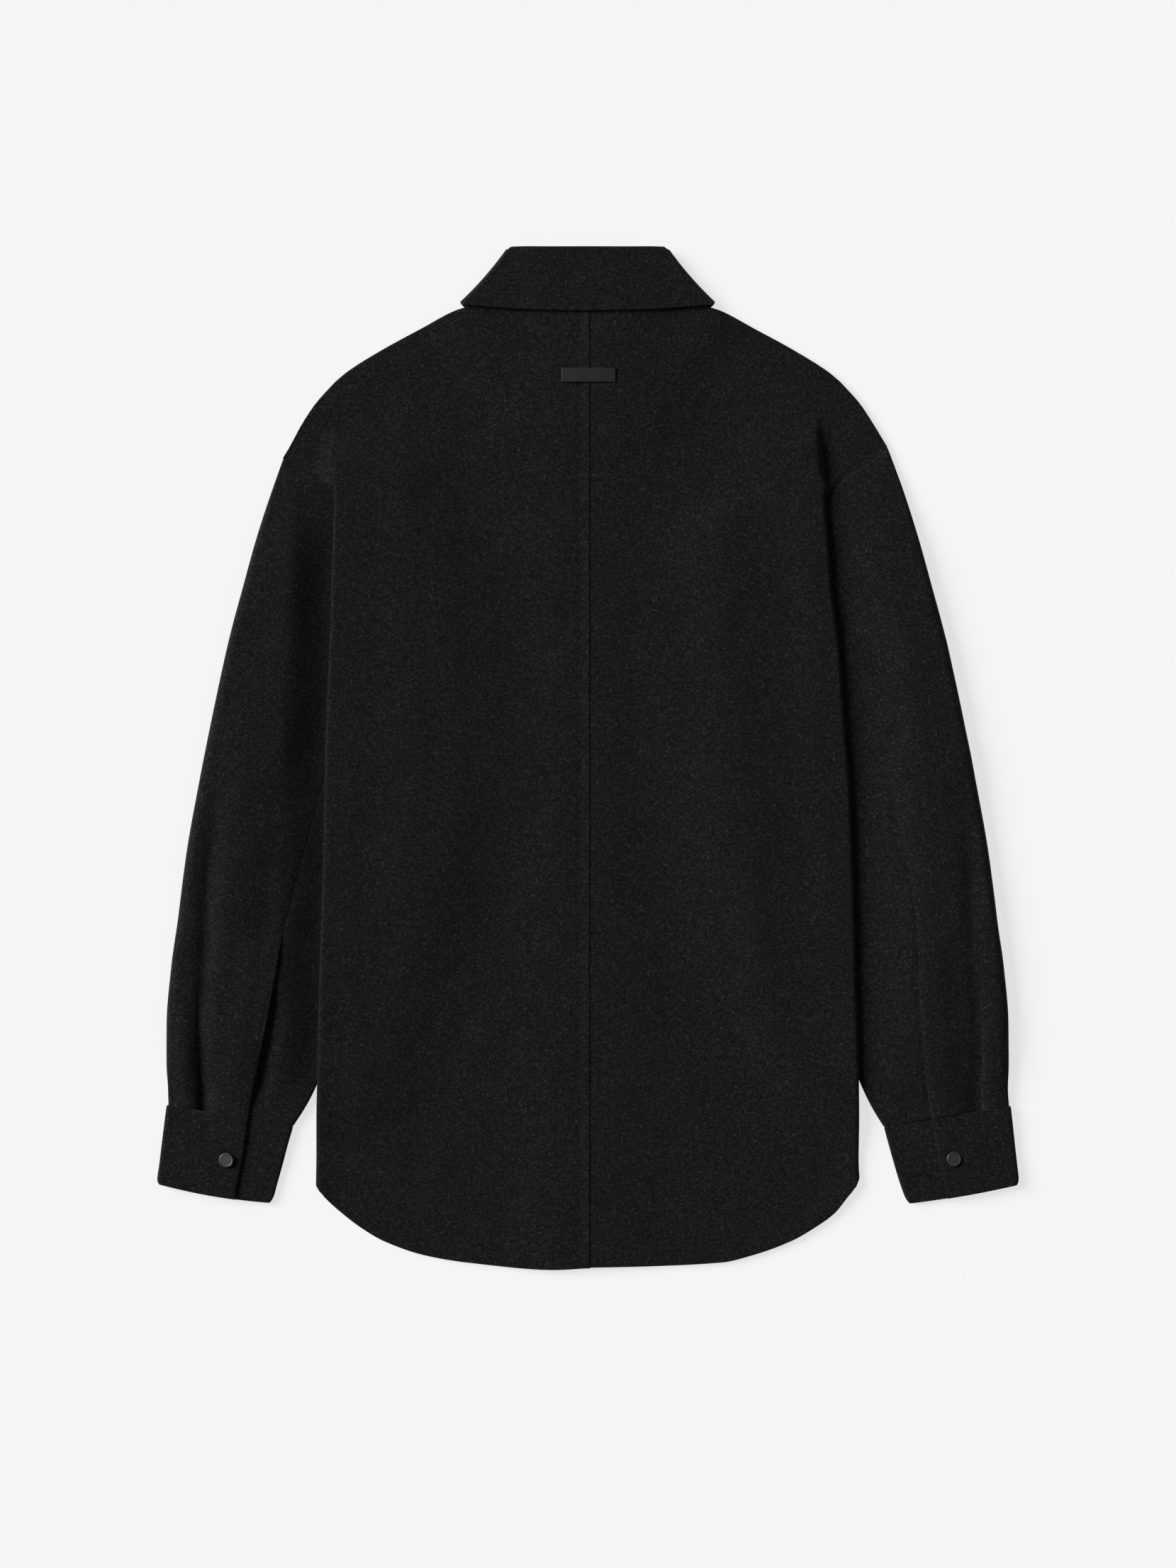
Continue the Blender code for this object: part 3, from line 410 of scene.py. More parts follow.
def each_row(table):
    """The rows of fine_rows one by one."""
    for values in zip(*table.values()):
        yield dict(zip(table, values))


def spread(start, end, spacing):
    """Evenly spaced values from start to end, both among them, about spacing apart."""
    return np.linspace(start, end, max(2, int(np.ceil(abs(end - start) / spacing)) + 1))


def sleeve_inner_x(y, side):
    """How far from the centre the sleeve's hidden edge lies under the body."""
    rows = SLEEVE[side][::-1]
    hidden = curve(y, [r.y_inner for r in rows], [r.x_inner for r in rows])
    head = SLEEVE[side][0]
    share = np.clip((y - head.y_inner) / (head.y_outer - head.y_inner), 0, HEAD_HIDDEN_SHARE)
    return np.where(y > head.y_inner, head.x_inner + share * (head.x_outer - head.x_inner), hidden)


def body_edge_x(y, side):
    """How far from the centre the body's side seam lies."""
    rows = [r for r in BODY_EDGE[side] if r.y_fold <= CROSSING[side]]
    return curve(y, [r.y_fold for r in rows], [r.x_side for r in rows])


def lift_share(y, side):
    """How much of the sleeve's height the body still has, along its length."""
    return smooth(y, *HEM_LIFT) * (1 - smooth(y, CROSSING[side] + LIFT_HOLDS, STEP_FADES[side]))


def leaf_share(x, y):
    """Where the collar's front leaf lies under the front."""
    leaf_edge = LEAF_EDGE_X + (y - LEAF_EDGE_Y) * LEAF_SLOPE
    start, end = LEAF_FADES
    return smooth(y, *LEAF_STARTS) * (1 - smooth(x, leaf_edge + start, leaf_edge + end))


def front_level(x, y, side):
    """The middle of the front's wall, x measured outward."""
    level = FLOOR_LEVEL + PLY * leaf_share(np.abs(x), y)
    level = level + BODY_LIFT * lift_share(y, side) * smooth(x - sleeve_inner_x(y, side), *FRONT_RAMP)
    if side == "right":
        level = level + PLY * (1 - smooth(x, *FRONT_LAP_FADES))
    return level


def ridges(x, y, table):
    """The height of a table's soft folds, x signed."""
    height = np.zeros_like(x)
    for r in table:
        along = (y - r.y_bottom) / (r.y_top - r.y_bottom)
        middle = r.x_bottom + along * (r.x_top - r.x_bottom)
        fade = smooth(along, *RIDGE_STARTS) * (1 - smooth(along, *RIDGE_ENDS))
        height = height + r.height * fade * bell(x, middle, r.half_width)
    return height


def back_level(x, y, side):
    """The middle of the back's wall, x measured outward."""
    level = FLOOR_LEVEL + PLY + LEAF_PLY * leaf_share(x, y) + PLY * (1 - smooth(x, *BACK_LAP_FADES))
    below = 1 - smooth(y, BACK_STEP_HOLDS[side], STEP_FADES[side] + BACK_STEP_TAIL)
    lift = smooth(y, *HEM_LIFT) * below
    level = level + BODY_LIFT * lift * smooth(x - sleeve_inner_x(y, side), *BACK_RAMP)
    puff = EDGE_PUFF * below * bell(x, body_edge_x(y, side), EDGE_PUFF_WIDTH)
    return level + puff + ridges(x * SIDES[side], y, BACK_RIDGES)


def cloth_waves(x, y):
    """The slight unevenness of laid cloth, at several scales."""
    height = np.zeros_like(x)
    for wave in CLOTH_WAVES:
        draw = np.random.default_rng(wave.seed)
        least = (0, 0, WAVE_STRETCH[0])
        most = (np.pi, 2 * np.pi, WAVE_STRETCH[1])
        for way, phase, stretch in draw.uniform(least, most, (WAVES_IN_EACH, 3)):
            turn = 2 * np.pi / (wave.length * stretch)
            height = height + (wave.height * np.sqrt(2 / WAVES_IN_EACH)
                               * np.sin(turn * (x * np.cos(way) + y * np.sin(way)) + phase))
    return height


def unit(vectors):
    return vectors / np.linalg.norm(vectors, axis=-1, keepdims=True)


def tangents(grid):
    """The way that each of a grid's rows runs at each point. The nearer neighbour counts for more."""
    step = np.diff(grid, axis=1)
    length = np.linalg.norm(step, axis=2, keepdims=True)
    way = step / length
    inside = unit(way[:, :-1] * length[:, 1:] + way[:, 1:] * length[:, :-1])
    return np.concatenate([way[:, :1], inside, way[:, -1:]], axis=1)


def normals(grid):
    """The way that each point of a grid faces."""
    along = tangents(grid.transpose(1, 0, 2)).transpose(1, 0, 2)
    return unit(np.cross(tangents(grid), along))


def with_edge_lines(grid):
    """The grid with its first and last row moved out to meet its neighbours at the seams, and with extra
    rows close to them where its rows are wide enough apart."""
    for _ in range(2):
        step = grid[1] - grid[0]
        length = np.linalg.norm(step, axis=1, keepdims=True)
        first = grid[:1] - step / length * RIM_REACH
        extra = [grid[0] + step / length * away for away in EDGE_LINES]
        if length.min() < EDGE_LINES[-1] * EDGE_ROOM:
            extra = [grid[0]]
        grid = np.concatenate([first, extra, grid[1:]])
        grid = grid[::-1]
    return grid


def border_distance(grid):
    """How far each point of a grid lies from the grid's nearest border, along its rows and columns."""
    nearest = np.full(grid.shape[:2], np.inf)
    for axis in (0, 1):
        length = np.linalg.norm(np.diff(grid, axis=axis), axis=2)
        total = np.cumsum(length, axis=axis)
        start = np.zeros_like(np.take(total, [0], axis=axis))
        here = np.concatenate([start, total], axis=axis)
        whole = np.take(here, [-1], axis=axis)
        nearest = np.minimum(nearest, np.minimum(here, whole - here))
    return nearest


def wall(name, grid, thickness, relief=None, flip=False, taper=1.0):
    """A closed wall around a grid of points in millimetres, with rounded edges. Relief is a function of
    signed x and y that raises its outer face. Taper is how far in the edges thin, in half thicknesses."""
    grid = with_edge_lines(grid)
    grid = with_edge_lines(grid.transpose(1, 0, 2)).transpose(1, 0, 2)
    face = normals(grid) * (-1 if flip else 1)
    inward = np.clip(border_distance(grid) / (taper * thickness / 2), 0, 1)
    round_share = RIM_SHARE + (1 - RIM_SHARE) * np.sqrt(1 - (1 - inward) ** 2)
    raised = thickness / 2 + np.zeros(grid.shape[:2])
    if relief is not None:
        raised = raised + relief(grid[..., 0], grid[..., 1]) * np.clip(face[..., 2], 0, 1)
    outer = grid + face * (raised * round_share)[..., None]
    inner = grid - face * (thickness / 2 * round_share)[..., None]
    rows, columns = grid.shape[:2]
    points = np.concatenate([outer.reshape(-1, 3), inner.reshape(-1, 3)])
    index = np.arange(rows * columns).reshape(rows, columns)
    over = np.stack([index[:-1, :-1], index[:-1, 1:], index[1:, 1:], index[1:, :-1]], axis=2).reshape(-1, 4)
    under = over[:, ::-1] + rows * columns
    rim = np.concatenate([index[0, :], index[1:, -1], index[-1, -2::-1], index[-2:0:-1, 0]])
    after = np.roll(rim, -1)
    side = np.stack([after, rim, rim + rows * columns, after + rows * columns], axis=1)
    faces = np.concatenate([over, under, side])
    if flip:
        faces = faces[:, ::-1]
    return add_mesh(name, points, faces)


def add_mesh(name, points, faces):
    """A smooth named object from points in millimetres."""
    mesh = bpy.data.meshes.new(name)
    mesh.from_pydata((np.asarray(points) * MM).tolist(), [], [list(map(int, face)) for face in faces])
    mesh.validate()
    mesh.shade_smooth()
    obj = bpy.data.objects.new(name, mesh)
    bpy.context.scene.collection.objects.link(obj)
    return obj


def dress(obj, node, material):
    """Puts a piece in its solid's place."""
    obj.data.materials.append(material)
    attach(obj, "root")
    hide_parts(node)
    return obj


def cloth(node, grid, thickness, material, relief=None, flip=False, taper=1.0):
    """A cloth piece that stands for its solid."""
    obj = dress(wall(f"cloth_{node}", grid, thickness, relief, flip, taper), node, material)
    return obj


def placed(grid, sign):
    """A grid with outward distances, put on its own side with its outer face still outside."""
    return (grid * np.array([sign, 1, 1]))[:, ::sign]


def body_plan(edge, hem, across, x_centre, top):
    """The plan of a body panel: x and y of its columns up to the side fold, at each row of its edge."""
    share = (edge["y_fold"] - edge["y_fold"][0]) / (edge["y_fold"][-1] - edge["y_fold"][0])
    across = across[None, :]
    along = share[:, None]
    x = x_centre + across * (edge["x_fold"][:, None] - x_centre)
    bottom_x = x_centre + across * (edge["x_fold"][0] - x_centre)
    top_x = x_centre + across * (edge["x_fold"][-1] - x_centre)
    bottom_y = outline(np.abs(bottom_x), hem)
    top_y = outline(np.abs(top_x), top)
    y_middle = bottom_y[:, :1] + along * (top_y[:, :1] - bottom_y[:, :1])
    y = y_middle + across * (edge["y_fold"][:, None] - y_middle)
    y = y + (1 - along) * (bottom_y - bottom_y[:, :1] - across * (bottom_y[:, -1:] - bottom_y[:, :1]))
    y = y + along * (top_y - top_y[:, :1] - across * (top_y[:, -1:] - top_y[:, :1]))
    return x, y


def side_edge(edge, side, level_in, level_seam, level_out, toward, flat_from, flat_to):
    """The columns past the side fold: a roll down to the side seam, and above it a step to the shoulder."""
    crossing = CROSSING[side]
    flat = smooth(edge["y_fold"], crossing + flat_from, crossing + flat_to)[:, None]
    past = np.linspace(0, 1, ARC_STEPS + 3)[None, 1:]
    angle = (1 - past) * np.pi / 2
    x_fold, y_fold = edge["x_fold"][:, None], edge["y_fold"][:, None]
    x_side, y_side = edge["x_side"][:, None], edge["y_side"][:, None]
    centre = x_side - CLOTH / 2 - EDGE_ROLL
    roll_x = centre + EDGE_ROLL * np.cos(angle)
    seam = level_seam[:, None] + toward * SEAM_HALF_GAP
    roll_z = seam + (level_in[:, None] - seam) * np.sin(angle)
    step_x = x_fold + past ** STEP_EASE * (x_side - x_fold)
    step_y = y_fold + past ** STEP_EASE * (y_side - y_fold)
    top_x = x_fold[-1] + past ** STEP_EASE * (x_side[-1] - x_fold[-1])
    bow = outline(top_x, SHOULDER_END[side]) - (y_fold[-1] + past ** STEP_EASE * (y_side[-1] - y_fold[-1]))
    step_y = step_y + bow * smooth(y_fold, crossing, y_fold[-1, 0])
    distance = np.hypot(step_x - x_fold, step_y - y_fold)
    step_z = level_out + (level_in[:, None] - level_out) * (1 - smooth(distance, 0, STEP_WIDTH[side]))
    x = (1 - flat) * roll_x + flat * step_x
    y = (1 - flat) * (y_fold + past * (y_side - y_fold)) + flat * step_y
    z = (1 - flat) * roll_z + flat * step_z
    return np.stack([x, y, z], axis=2)


def body_panel(side, layer):
    """The middle surface of one front or back panel, x measured outward."""
    if layer == "back":
        edge = fine_rows(BODY_EDGE[side], BACK_SPACING, ("fold", "side"))
        across = spread(0, 1, BACK_SPACING / BODY_EDGE[side][0].x_fold)
        x, y = body_plan(edge, HEM[side], across, SEAM_X * SIDES[side] + GAP / 2, NECK_AND_SHOULDER)
        level = back_level(x, y, side)
    else:
        edge = fine_rows(BODY_EDGE[side], FRONT_SPACING, ("fold", "side"))
        across = spread(0, 1, FRONT_SPACING / BODY_EDGE[side][0].x_fold)
        x, y = body_plan(edge, HEM[side], across, -PLACKET_LAP, FRONT_NECK_AND_SHOULDER)
        y = y + FRONT_HEM_RISE * (1 - smooth(y, *FRONT_HEM_FADES)) * (1 - smooth(x, *FRONT_SIDE_FADES))
        level = front_level(x, y, side)
        above = smooth(edge["y_fold"] - CROSSING[side], *FLAT_ROWS["back"])[:, None]
        stepped = smooth(x - edge["x_fold"][:, None], *FRONT_STEP)
        level = FLOOR_LEVEL + (level - FLOOR_LEVEL) * (1 - above * stepped)
    seam = (back_level(x[:, -1], y[:, -1], side) + front_level(x[:, -1], y[:, -1], side)) / 2
    out_level = FLOOR_LEVEL + PLY if layer == "back" else level[:, -1:]
    toward = 1 if layer == "back" else -1
    past = side_edge(edge, side, level[:, -1], seam, out_level, toward, *FLAT_ROWS[layer])
    return np.concatenate([np.stack([x, y, level], axis=2), past], axis=1)


def armhole_seam(side):
    """The x and y of the armhole seam's points, x measured outward."""
    seam = [r for r in BODY_EDGE[side] if r.y_fold >= CROSSING[side]]
    return [r.x_side for r in seam], [r.y_side for r in seam]


def armhole_groove(x, y):
    """The fine line that the armhole seams press into the cloth on both sides of them."""
    depth = np.zeros_like(x)
    for side, sign in SIDES.items():
        seam_x, seam_y = armhole_seam(side)
        beyond = smooth(x * sign, seam_x[0], seam_x[0] + ARMHOLE_GROOVE_START)
        line = np.interp(x * sign, seam_x, seam_y)
        depth = depth + ARMHOLE_GROOVE * beyond * bell(y, line, ARMHOLE_GROOVE_WIDTH)
    return depth


def back_relief(x, y):
    """Hollows between the folds, and the pressed band of the centre seam to its left."""
    seam = SEAM_X + GAP / 2
    across = np.clip((seam - x) / SEAM_BAND_WIDTH, 0, 1)
    band = SEAM_BAND_RAISE * (1 - smooth(across, SEAM_BAND_FLAT, 1)) * (x < seam)
    groove = SEAM_BAND_GROOVE * bell(x, seam - SEAM_BAND_WIDTH - SEAM_GROOVE_SHIFT, SEAM_GROOVE_WIDTH)
    return band - groove - armhole_groove(x, y) + ridges(x, y, BACK_HOLLOWS) + cloth_waves(x, y)


def make_body(wool):
    for side, sign in SIDES.items():
        cloth(f"back_{side}", placed(body_panel(side, "back"), sign), CLOTH, wool, back_relief,
              taper=BODY_TAPER)
        cloth(f"front_{side}", placed(body_panel(side, "front"), sign), CLOTH, wool)


def row_frame(row):
    """The inner fold's point of a row, the direction across it and its width."""
    inner = np.array([row["x_inner"], row["y_inner"]])
    across = np.array([row["x_outer"], row["y_outer"]]) - inner
    width = np.linalg.norm(across)
    return inner, across / width, width


def head_bend(x, row, side):
    """How far points near the sleeve's head move up, so that the head follows the armhole seam."""
    seam_x, seam_y = armhole_seam(side)
    head = SLEEVE[side][0]
    slope = (head.y_outer - head.y_inner) / (head.x_outer - head.x_inner)
    start = seam_x[0]
    reached = np.clip(x, start, seam_x[-1])
    wanted = np.interp(reached, seam_x, seam_y) - HEAD_GAP
    bend = wanted - (head.y_inner + slope * (reached - head.x_inner))
    bend = bend + HEAD_TUCK * bell(x, start + HEAD_TUCK_SHIFT, HEAD_TUCK_WIDTH)
    bend = bend * smooth(x, start - HEAD_BEND_HIDDEN, start)
    return bend * (1 - smooth(head.y_outer - row["y_outer"], 0, HEAD_BEND_LENGTH))


def sleeve_top(row, distance, side, extra=0.0):
    """Points of the sleeve's upper wall: flat under the body, rounded beyond it."""
    inner, across, _ = row_frame(row)
    distance = np.atleast_1d(distance)
    x, y = (inner + distance[:, None] * across).T
    past_cuff = smooth(y, *CUFF_END_FADES)
    full = past_cuff * (1 - smooth(y, *FULL_FADES))
    fullness = SLEEVE_FULLNESS[side]
    outside = smooth(x - body_edge_x(y, side), fullness.start, fullness.end)
    crest = bell(x, row["x_outer"] - CREST_INSET, CREST_WIDTH)
    rise = full * (fullness.rise + SLEEVE_CREST * crest) + CUFF_END_RISE * (1 - past_cuff)
    seam = ELBOW_GROOVE * outside * bell(distance, elbow_distance(row), ELBOW_GROOVE_WIDTH)
    return sleeve_points(row, distance, side, SLEEVE_TOP + outside * rise + extra - seam)


def sleeve_points(row, distance, side, level):
    """Points along a row at their levels, bent to the armhole seam near the sleeve's head."""
    inner, across, _ = row_frame(row)
    x, y = (inner + distance[:, None] * across).T
    return np.column_stack([x, y + head_bend(x, row, side), level])


def sleeve_bottom(row, distance, side):
    return sleeve_points(row, distance, side, np.full(len(distance), FLOOR_LEVEL))


def sleeve_round(row, distance, side, way):
    """The sleeve's fold from the upper wall down to the lower one. Way is 1 outward and -1 inward."""
    radius = (sleeve_top(row, distance, side)[0, 2] - FLOOR_LEVEL) / 2
    angle = np.linspace(np.pi / 2, -np.pi / 2, ARC_STEPS + 1)
    level = FLOOR_LEVEL + radius + radius * np.sin(angle)
    return sleeve_points(row, distance + way * radius * np.cos(angle), side, level)


def elbow_distance(row):
    inner, across, _ = row_frame(row)
    return (row["x_elbow"] - inner[0]) / across[0]


def outer_round_start(row, side):
    """How far along a row its outer fold begins, so that the fold ends at the outline."""
    _, _, width = row_frame(row)
    top = sleeve_top(row, width - OUTER_FOLD_REACH, side)[0, 2]
    return width - CLOTH / 2 - FOLD_INSET - (top - FLOOR_LEVEL) / 2


def pleat_extra(distance, pleat, y, side):
    """The sleeve's rise where the pleat's outer part laps over its inner part."""
    full = 1 - smooth(y, PLEAT_FULL, PLEAT_STARTS)
    step = smooth(distance, pleat - PLEAT_WIDTH / 2, pleat + PLEAT_WIDTH / 2)
    middle = pleat - TROUGH_INSET + TROUGH_SHIFT * smooth(y, *TROUGH_TURNS)
    trough = bell(distance, middle, TROUGH_WIDTH) * (1 - smooth(y, *TROUGH_FADES))
    flap = full * step * (1 - smooth(distance - pleat, *FLAP_FADES))
    return PLEAT_HEIGHT[side] * flap - PLEAT_TROUGH[side] * trough


def outer_sleeve(side):
    """From the elbow seam on top, round the outer fold, to the front seam underneath."""
    grid = []
    for row in each_row(fine_rows(SLEEVE[side], SLEEVE_SPACING, ("outer", "inner"))):
        inner, across, width = row_frame(row)
        start = elbow_distance(row) + GAP / 2
        end = outer_round_start(row, side)
        pleat = width - PLEAT_INSET[side]
        near, far = pleat - PLEAT_WIDTH / 2, pleat + PLEAT_WIDTH / 2
        tops = np.concatenate([start + (near - start) * np.linspace(0, 1, TOP_COLUMNS),
                               np.linspace(near, far, PLEAT_COLUMNS)[1:],
                               np.linspace(far, end, FOLD_COLUMNS)[1:-1]])
        y = inner[1] + across[1] * tops
        rise = SLIT_RISE * (1 - smooth(y[0], SLIT_STARTS + SLIT_RISE_OVERLAP, SLIT_RISE_STARTS))
        extra = pleat_extra(tops, pleat, y, side) + rise * (1 - smooth(tops - start, *SLIT_RISE_FADES))
        seam = FRONT_SEAM_SHARE * width + GAP / 2
        grid.append(np.concatenate([
            sleeve_top(row, tops, side, extra),
            sleeve_round(row, end, side, 1),
            sleeve_bottom(row, end + (seam - end) * np.linspace(0, 1, UNDER_COLUMNS)[1:], side),
        ]))
    return np.array(grid)


def inner_sleeve(side):
    """From the elbow seam on top, round the inner fold, to the front seam underneath."""
    grid = []
    for row in each_row(fine_rows(SLEEVE[side], SLEEVE_SPACING, ("outer", "inner"))):
        inner, across, width = row_frame(row)
        elbow = elbow_distance(row)
        lap = SLIT_LAP * (1 - smooth(inner[1] + across[1] * elbow, SLIT_FULL, SLIT_STARTS))
        start = elbow - GAP / 2 + lap
        end = CLOTH / 2 + (SLEEVE_TOP - FLOOR_LEVEL) / 2
        seam = FRONT_SEAM_SHARE * width - GAP / 2
        tops = start + (end - start) * np.linspace(0, 1, INNER_TOP_COLUMNS)[:-1]
        y = inner[1] + across[1] * tops
        hollow = SLIT_HOLLOW[side] * smooth(y, *SLIT_HOLLOW_STARTS) * (1 - smooth(y, *SLIT_HOLLOW_ENDS))
        grid.append(np.concatenate([
            sleeve_top(row, tops, side, -hollow * bell(tops, elbow, SLIT_HOLLOW_WIDTH)),
            sleeve_round(row, end, side, -1),
            sleeve_bottom(row, end + (seam - end) * np.linspace(0, 1, INNER_UNDER_COLUMNS)[1:], side),
        ]))
    return np.array(grid)


def sleeve_relief(x, y):
    return ridges(x, y, SLEEVE_FOLDS) - armhole_groove(x, y) + cloth_waves(x, y)


def make_sleeves(wool):
    for side, sign in SIDES.items():
        cloth(f"sleeve_{side}_outer", placed(outer_sleeve(side), sign), CLOTH, wool,
              sleeve_relief, flip=True)
        cloth(f"sleeve_{side}_inner", placed(inner_sleeve(side), sign), CLOTH, wool, sleeve_relief)


def cuff_grid(side):
    """From the edge that laps on top, round the outer fold and the inner fold, to the part underneath."""
    grid = []
    turn = np.linspace(np.pi / 2, -np.pi / 2, ARC_STEPS + 1)
    for row in each_row(fine_rows(CUFF[side], CUFF_SPACING, ("outer", "inner"))):
        inner, across, width = row_frame(row)
        lap = (row["x_lap"] - inner[0]) / across[0]
        outer_end = width - CUFF_CLOTH / 2 - CUFF_FOLD_REACH
        outer_radius = (CUFF_OUTER_TOP - CUFF_BOTTOM) / 2
        inner_radius = (CUFF_INNER_TOP - CUFF_BOTTOM) / 2
        inner_end = CUFF_CLOTH / 2 + inner_radius
        underlap = lap + CUFF_UNDERLAP
        top = lap + (outer_end - lap) * np.linspace(0, 1, CUFF_TOP_COLUMNS)[:-1]
        fall = smooth(top, underlap + CUFF_FALL[0], outer_end + CUFF_FALL[1])
        bottom = outer_end + (inner_end - outer_end) * np.linspace(0, 1, CUFF_UNDER_COLUMNS)[1:-1]
        under = inner_end + (underlap - inner_end) * np.linspace(0, 1, CUFF_UNDER_COLUMNS)[1:]
        distance = np.concatenate([
            top, outer_end + outer_radius * np.cos(turn), bottom,
            inner_end - inner_radius * np.cos(turn), under])
        level = np.concatenate([
            CUFF_LAP_TOP + (CUFF_OUTER_TOP - CUFF_LAP_TOP) * fall,
            CUFF_BOTTOM + outer_radius * (1 + np.sin(turn)), np.full(len(bottom), CUFF_BOTTOM),
            CUFF_BOTTOM + inner_radius * (1 - np.sin(turn)), np.full(len(under), CUFF_INNER_TOP)])
        share = np.clip(distance / width, 0, 1)
        plan = inner + distance[:, None] * across
        grid.append(np.column_stack([plan[:, 0], plan[:, 1] - row["bow"] * 4 * share * (1 - share), level]))
    return np.array(grid)


def cuff_relief(x, y):
    return CUFF_WAVE_SHARE * cloth_waves(x, y)


def make_cuffs(cuff_wool):
    for side, sign in SIDES.items():
        cloth(f"cuff_{side}", placed(cuff_grid(side), sign), CUFF_CLOTH, cuff_wool,
              cuff_relief, flip=True, taper=CUFF_TAPER)


def collar_grids():
    """The fall's rows run from its edge up over the roll, the stand's from the neck up to below the roll."""
    fall, stand = [], []
    angle = np.linspace(0, np.pi, ARC_STEPS + 1)[1:, None]
    for row in each_row(fine_rows(COLLAR, COLLAR_SPACING, ("roll", "edge"), least=8)):
        turn = np.radians(row["turn"])
        out = np.cos(turn) * COLLAR_SIDE + np.array([0, 0, np.sin(turn)])
        upper = smooth(row["turn"], *COLLAR_RISE_TURNS) * COLLAR_RISE
        upper = upper * (1 - smooth(abs(row["x_roll"]), *COLLAR_RISE_FADES))
        middle = FLOOR_LEVEL + COLLAR_FOLD + upper
        behind = smooth(row["turn"], *COLLAR_BEHIND)
        y_neck = NECK_GAP + (1 - behind) * outline(row["x_neck"], FRONT_NECK_AND_SHOULDER)
        y_neck = y_neck + behind * outline(row["x_neck"], NECK_AND_SHOULDER)
        roll = np.array([row["x_roll"], row["y_roll"], middle]) + COLLAR_FOLD * out
        edge = np.array([row["x_edge"], row["y_edge"], middle]) + COLLAR_FOLD * out
        neck = np.array([row["x_neck"], y_neck, middle]) + (COLLAR_FOLD - 2 * COLLAR_ROLL) * out
        down = unit((edge - roll) * np.array([1, 1, 0]))
        centre = roll - COLLAR_ROLL * out
        across = np.array([-down[1], down[0], 0])
        bow = -COLLAR_BOW * smooth(edge[0], *COLLAR_BOW_STARTS)
        share = np.linspace(0, 1, FALL_ROWS)[:, None]
        flat = edge + (roll - edge) * share + across * bow * 4 * share * (1 - share)
        over = centre + COLLAR_ROLL * (np.cos(angle) * out - np.sin(angle) * down)
        fall.append(np.concatenate([flat, over]))
        top = centre - COLLAR_ROLL * out + down * STAND_DROP
        stand.append(neck + (top - neck) * np.linspace(0, 1, STAND_ROWS)[:, None])
    return np.array(fall), np.array(stand)


def collar_relief(x, y):
    return ridges(x, y, COLLAR_DIMPLES) + cloth_waves(x, y)


def make_collar(wool):
    mirror = np.array([-1, 1, 1])
    for name, half in zip(("collar_fall", "collar_stand"), collar_grids()):
        whole = np.concatenate([half, (half * mirror)[-2::-1]])
        cloth(name, whole, CLOTH, wool, collar_relief)


def tab_level(x, y):
    """The middle of the tab's plate, x signed. Its ends bend down beyond the seam's band."""
    side_level = back_level(np.abs(x), y, "right") - ridges(np.abs(x), y, BACK_RIDGES)
    level = side_level + ridges(x, y, BACK_RIDGES) + CLOTH / 2 + SEAM_BAND_RAISE + GAP + TAB_THICKNESS / 2
    return level - TAB_DROP * smooth(np.abs(x - TAB_CENTRE.x), *TAB_BEND)


def make_tab(tab, thread):
    """A thin bare plate across the centre seam, held by a stitch at each corner."""
    x = spread(TAB_CENTRE.x - TAB_SIZE.x / 2, TAB_CENTRE.x + TAB_SIZE.x / 2, TAB_SPACING)
    y = spread(TAB_CENTRE.y - TAB_SIZE.y / 2, TAB_CENTRE.y + TAB_SIZE.y / 2, TAB_SPACING)
    plan_x, plan_y = np.meshgrid(x, y)
    grid = np.stack([plan_x, plan_y, tab_level(plan_x, plan_y)], axis=2)
    dress(wall("tab_plate", grid, TAB_THICKNESS), "back_tab", tab)
    points, faces = [], []
    for side_x in (-1, 1):
        for side_y in (-1, 1):
            place_x = TAB_CENTRE.x + side_x * (TAB_SIZE.x / 2 - STITCH_INSET.x)
            place_y = TAB_CENTRE.y + side_y * (TAB_SIZE.y / 2 - STITCH_INSET.y)
            base = tab_level(np.array(place_x), np.array(place_y)) + TAB_THICKNESS / 2
            add_stitch(points, faces, place_x, place_y, float(base))
    stitches = add_mesh("tab_stitches", points, faces)
    stitches.data.materials.append(thread)
    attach(stitches, "root")


def add_stitch(points, faces, x, y, base, rings=8, around=10):
    """One stitch, an arched thread that dips into the plate at both ends."""
    first = len(points)
    for k in range(rings + 1):
        along = k / rings * 2 - 1
        radius = STITCH_RADIUS * np.sqrt(max(1 - along ** 2, 0.02))
        for j in range(around):
            angle = 2 * np.pi * j / around
            points.append((x + along * STITCH_LENGTH / 2, y + radius * np.cos(angle),
                           base + radius * np.sin(angle) + STITCH_ARCH * (1 - along ** 2)))
    for k in range(rings):
        for j in range(around):
            here = first + k * around
            after = (j + 1) % around
            faces.append((here + j, here + around + j, here + around + after, here + after))
    faces.append([first + j for j in range(around)])
    faces.append([first + rings * around + around - 1 - j for j in range(around)])


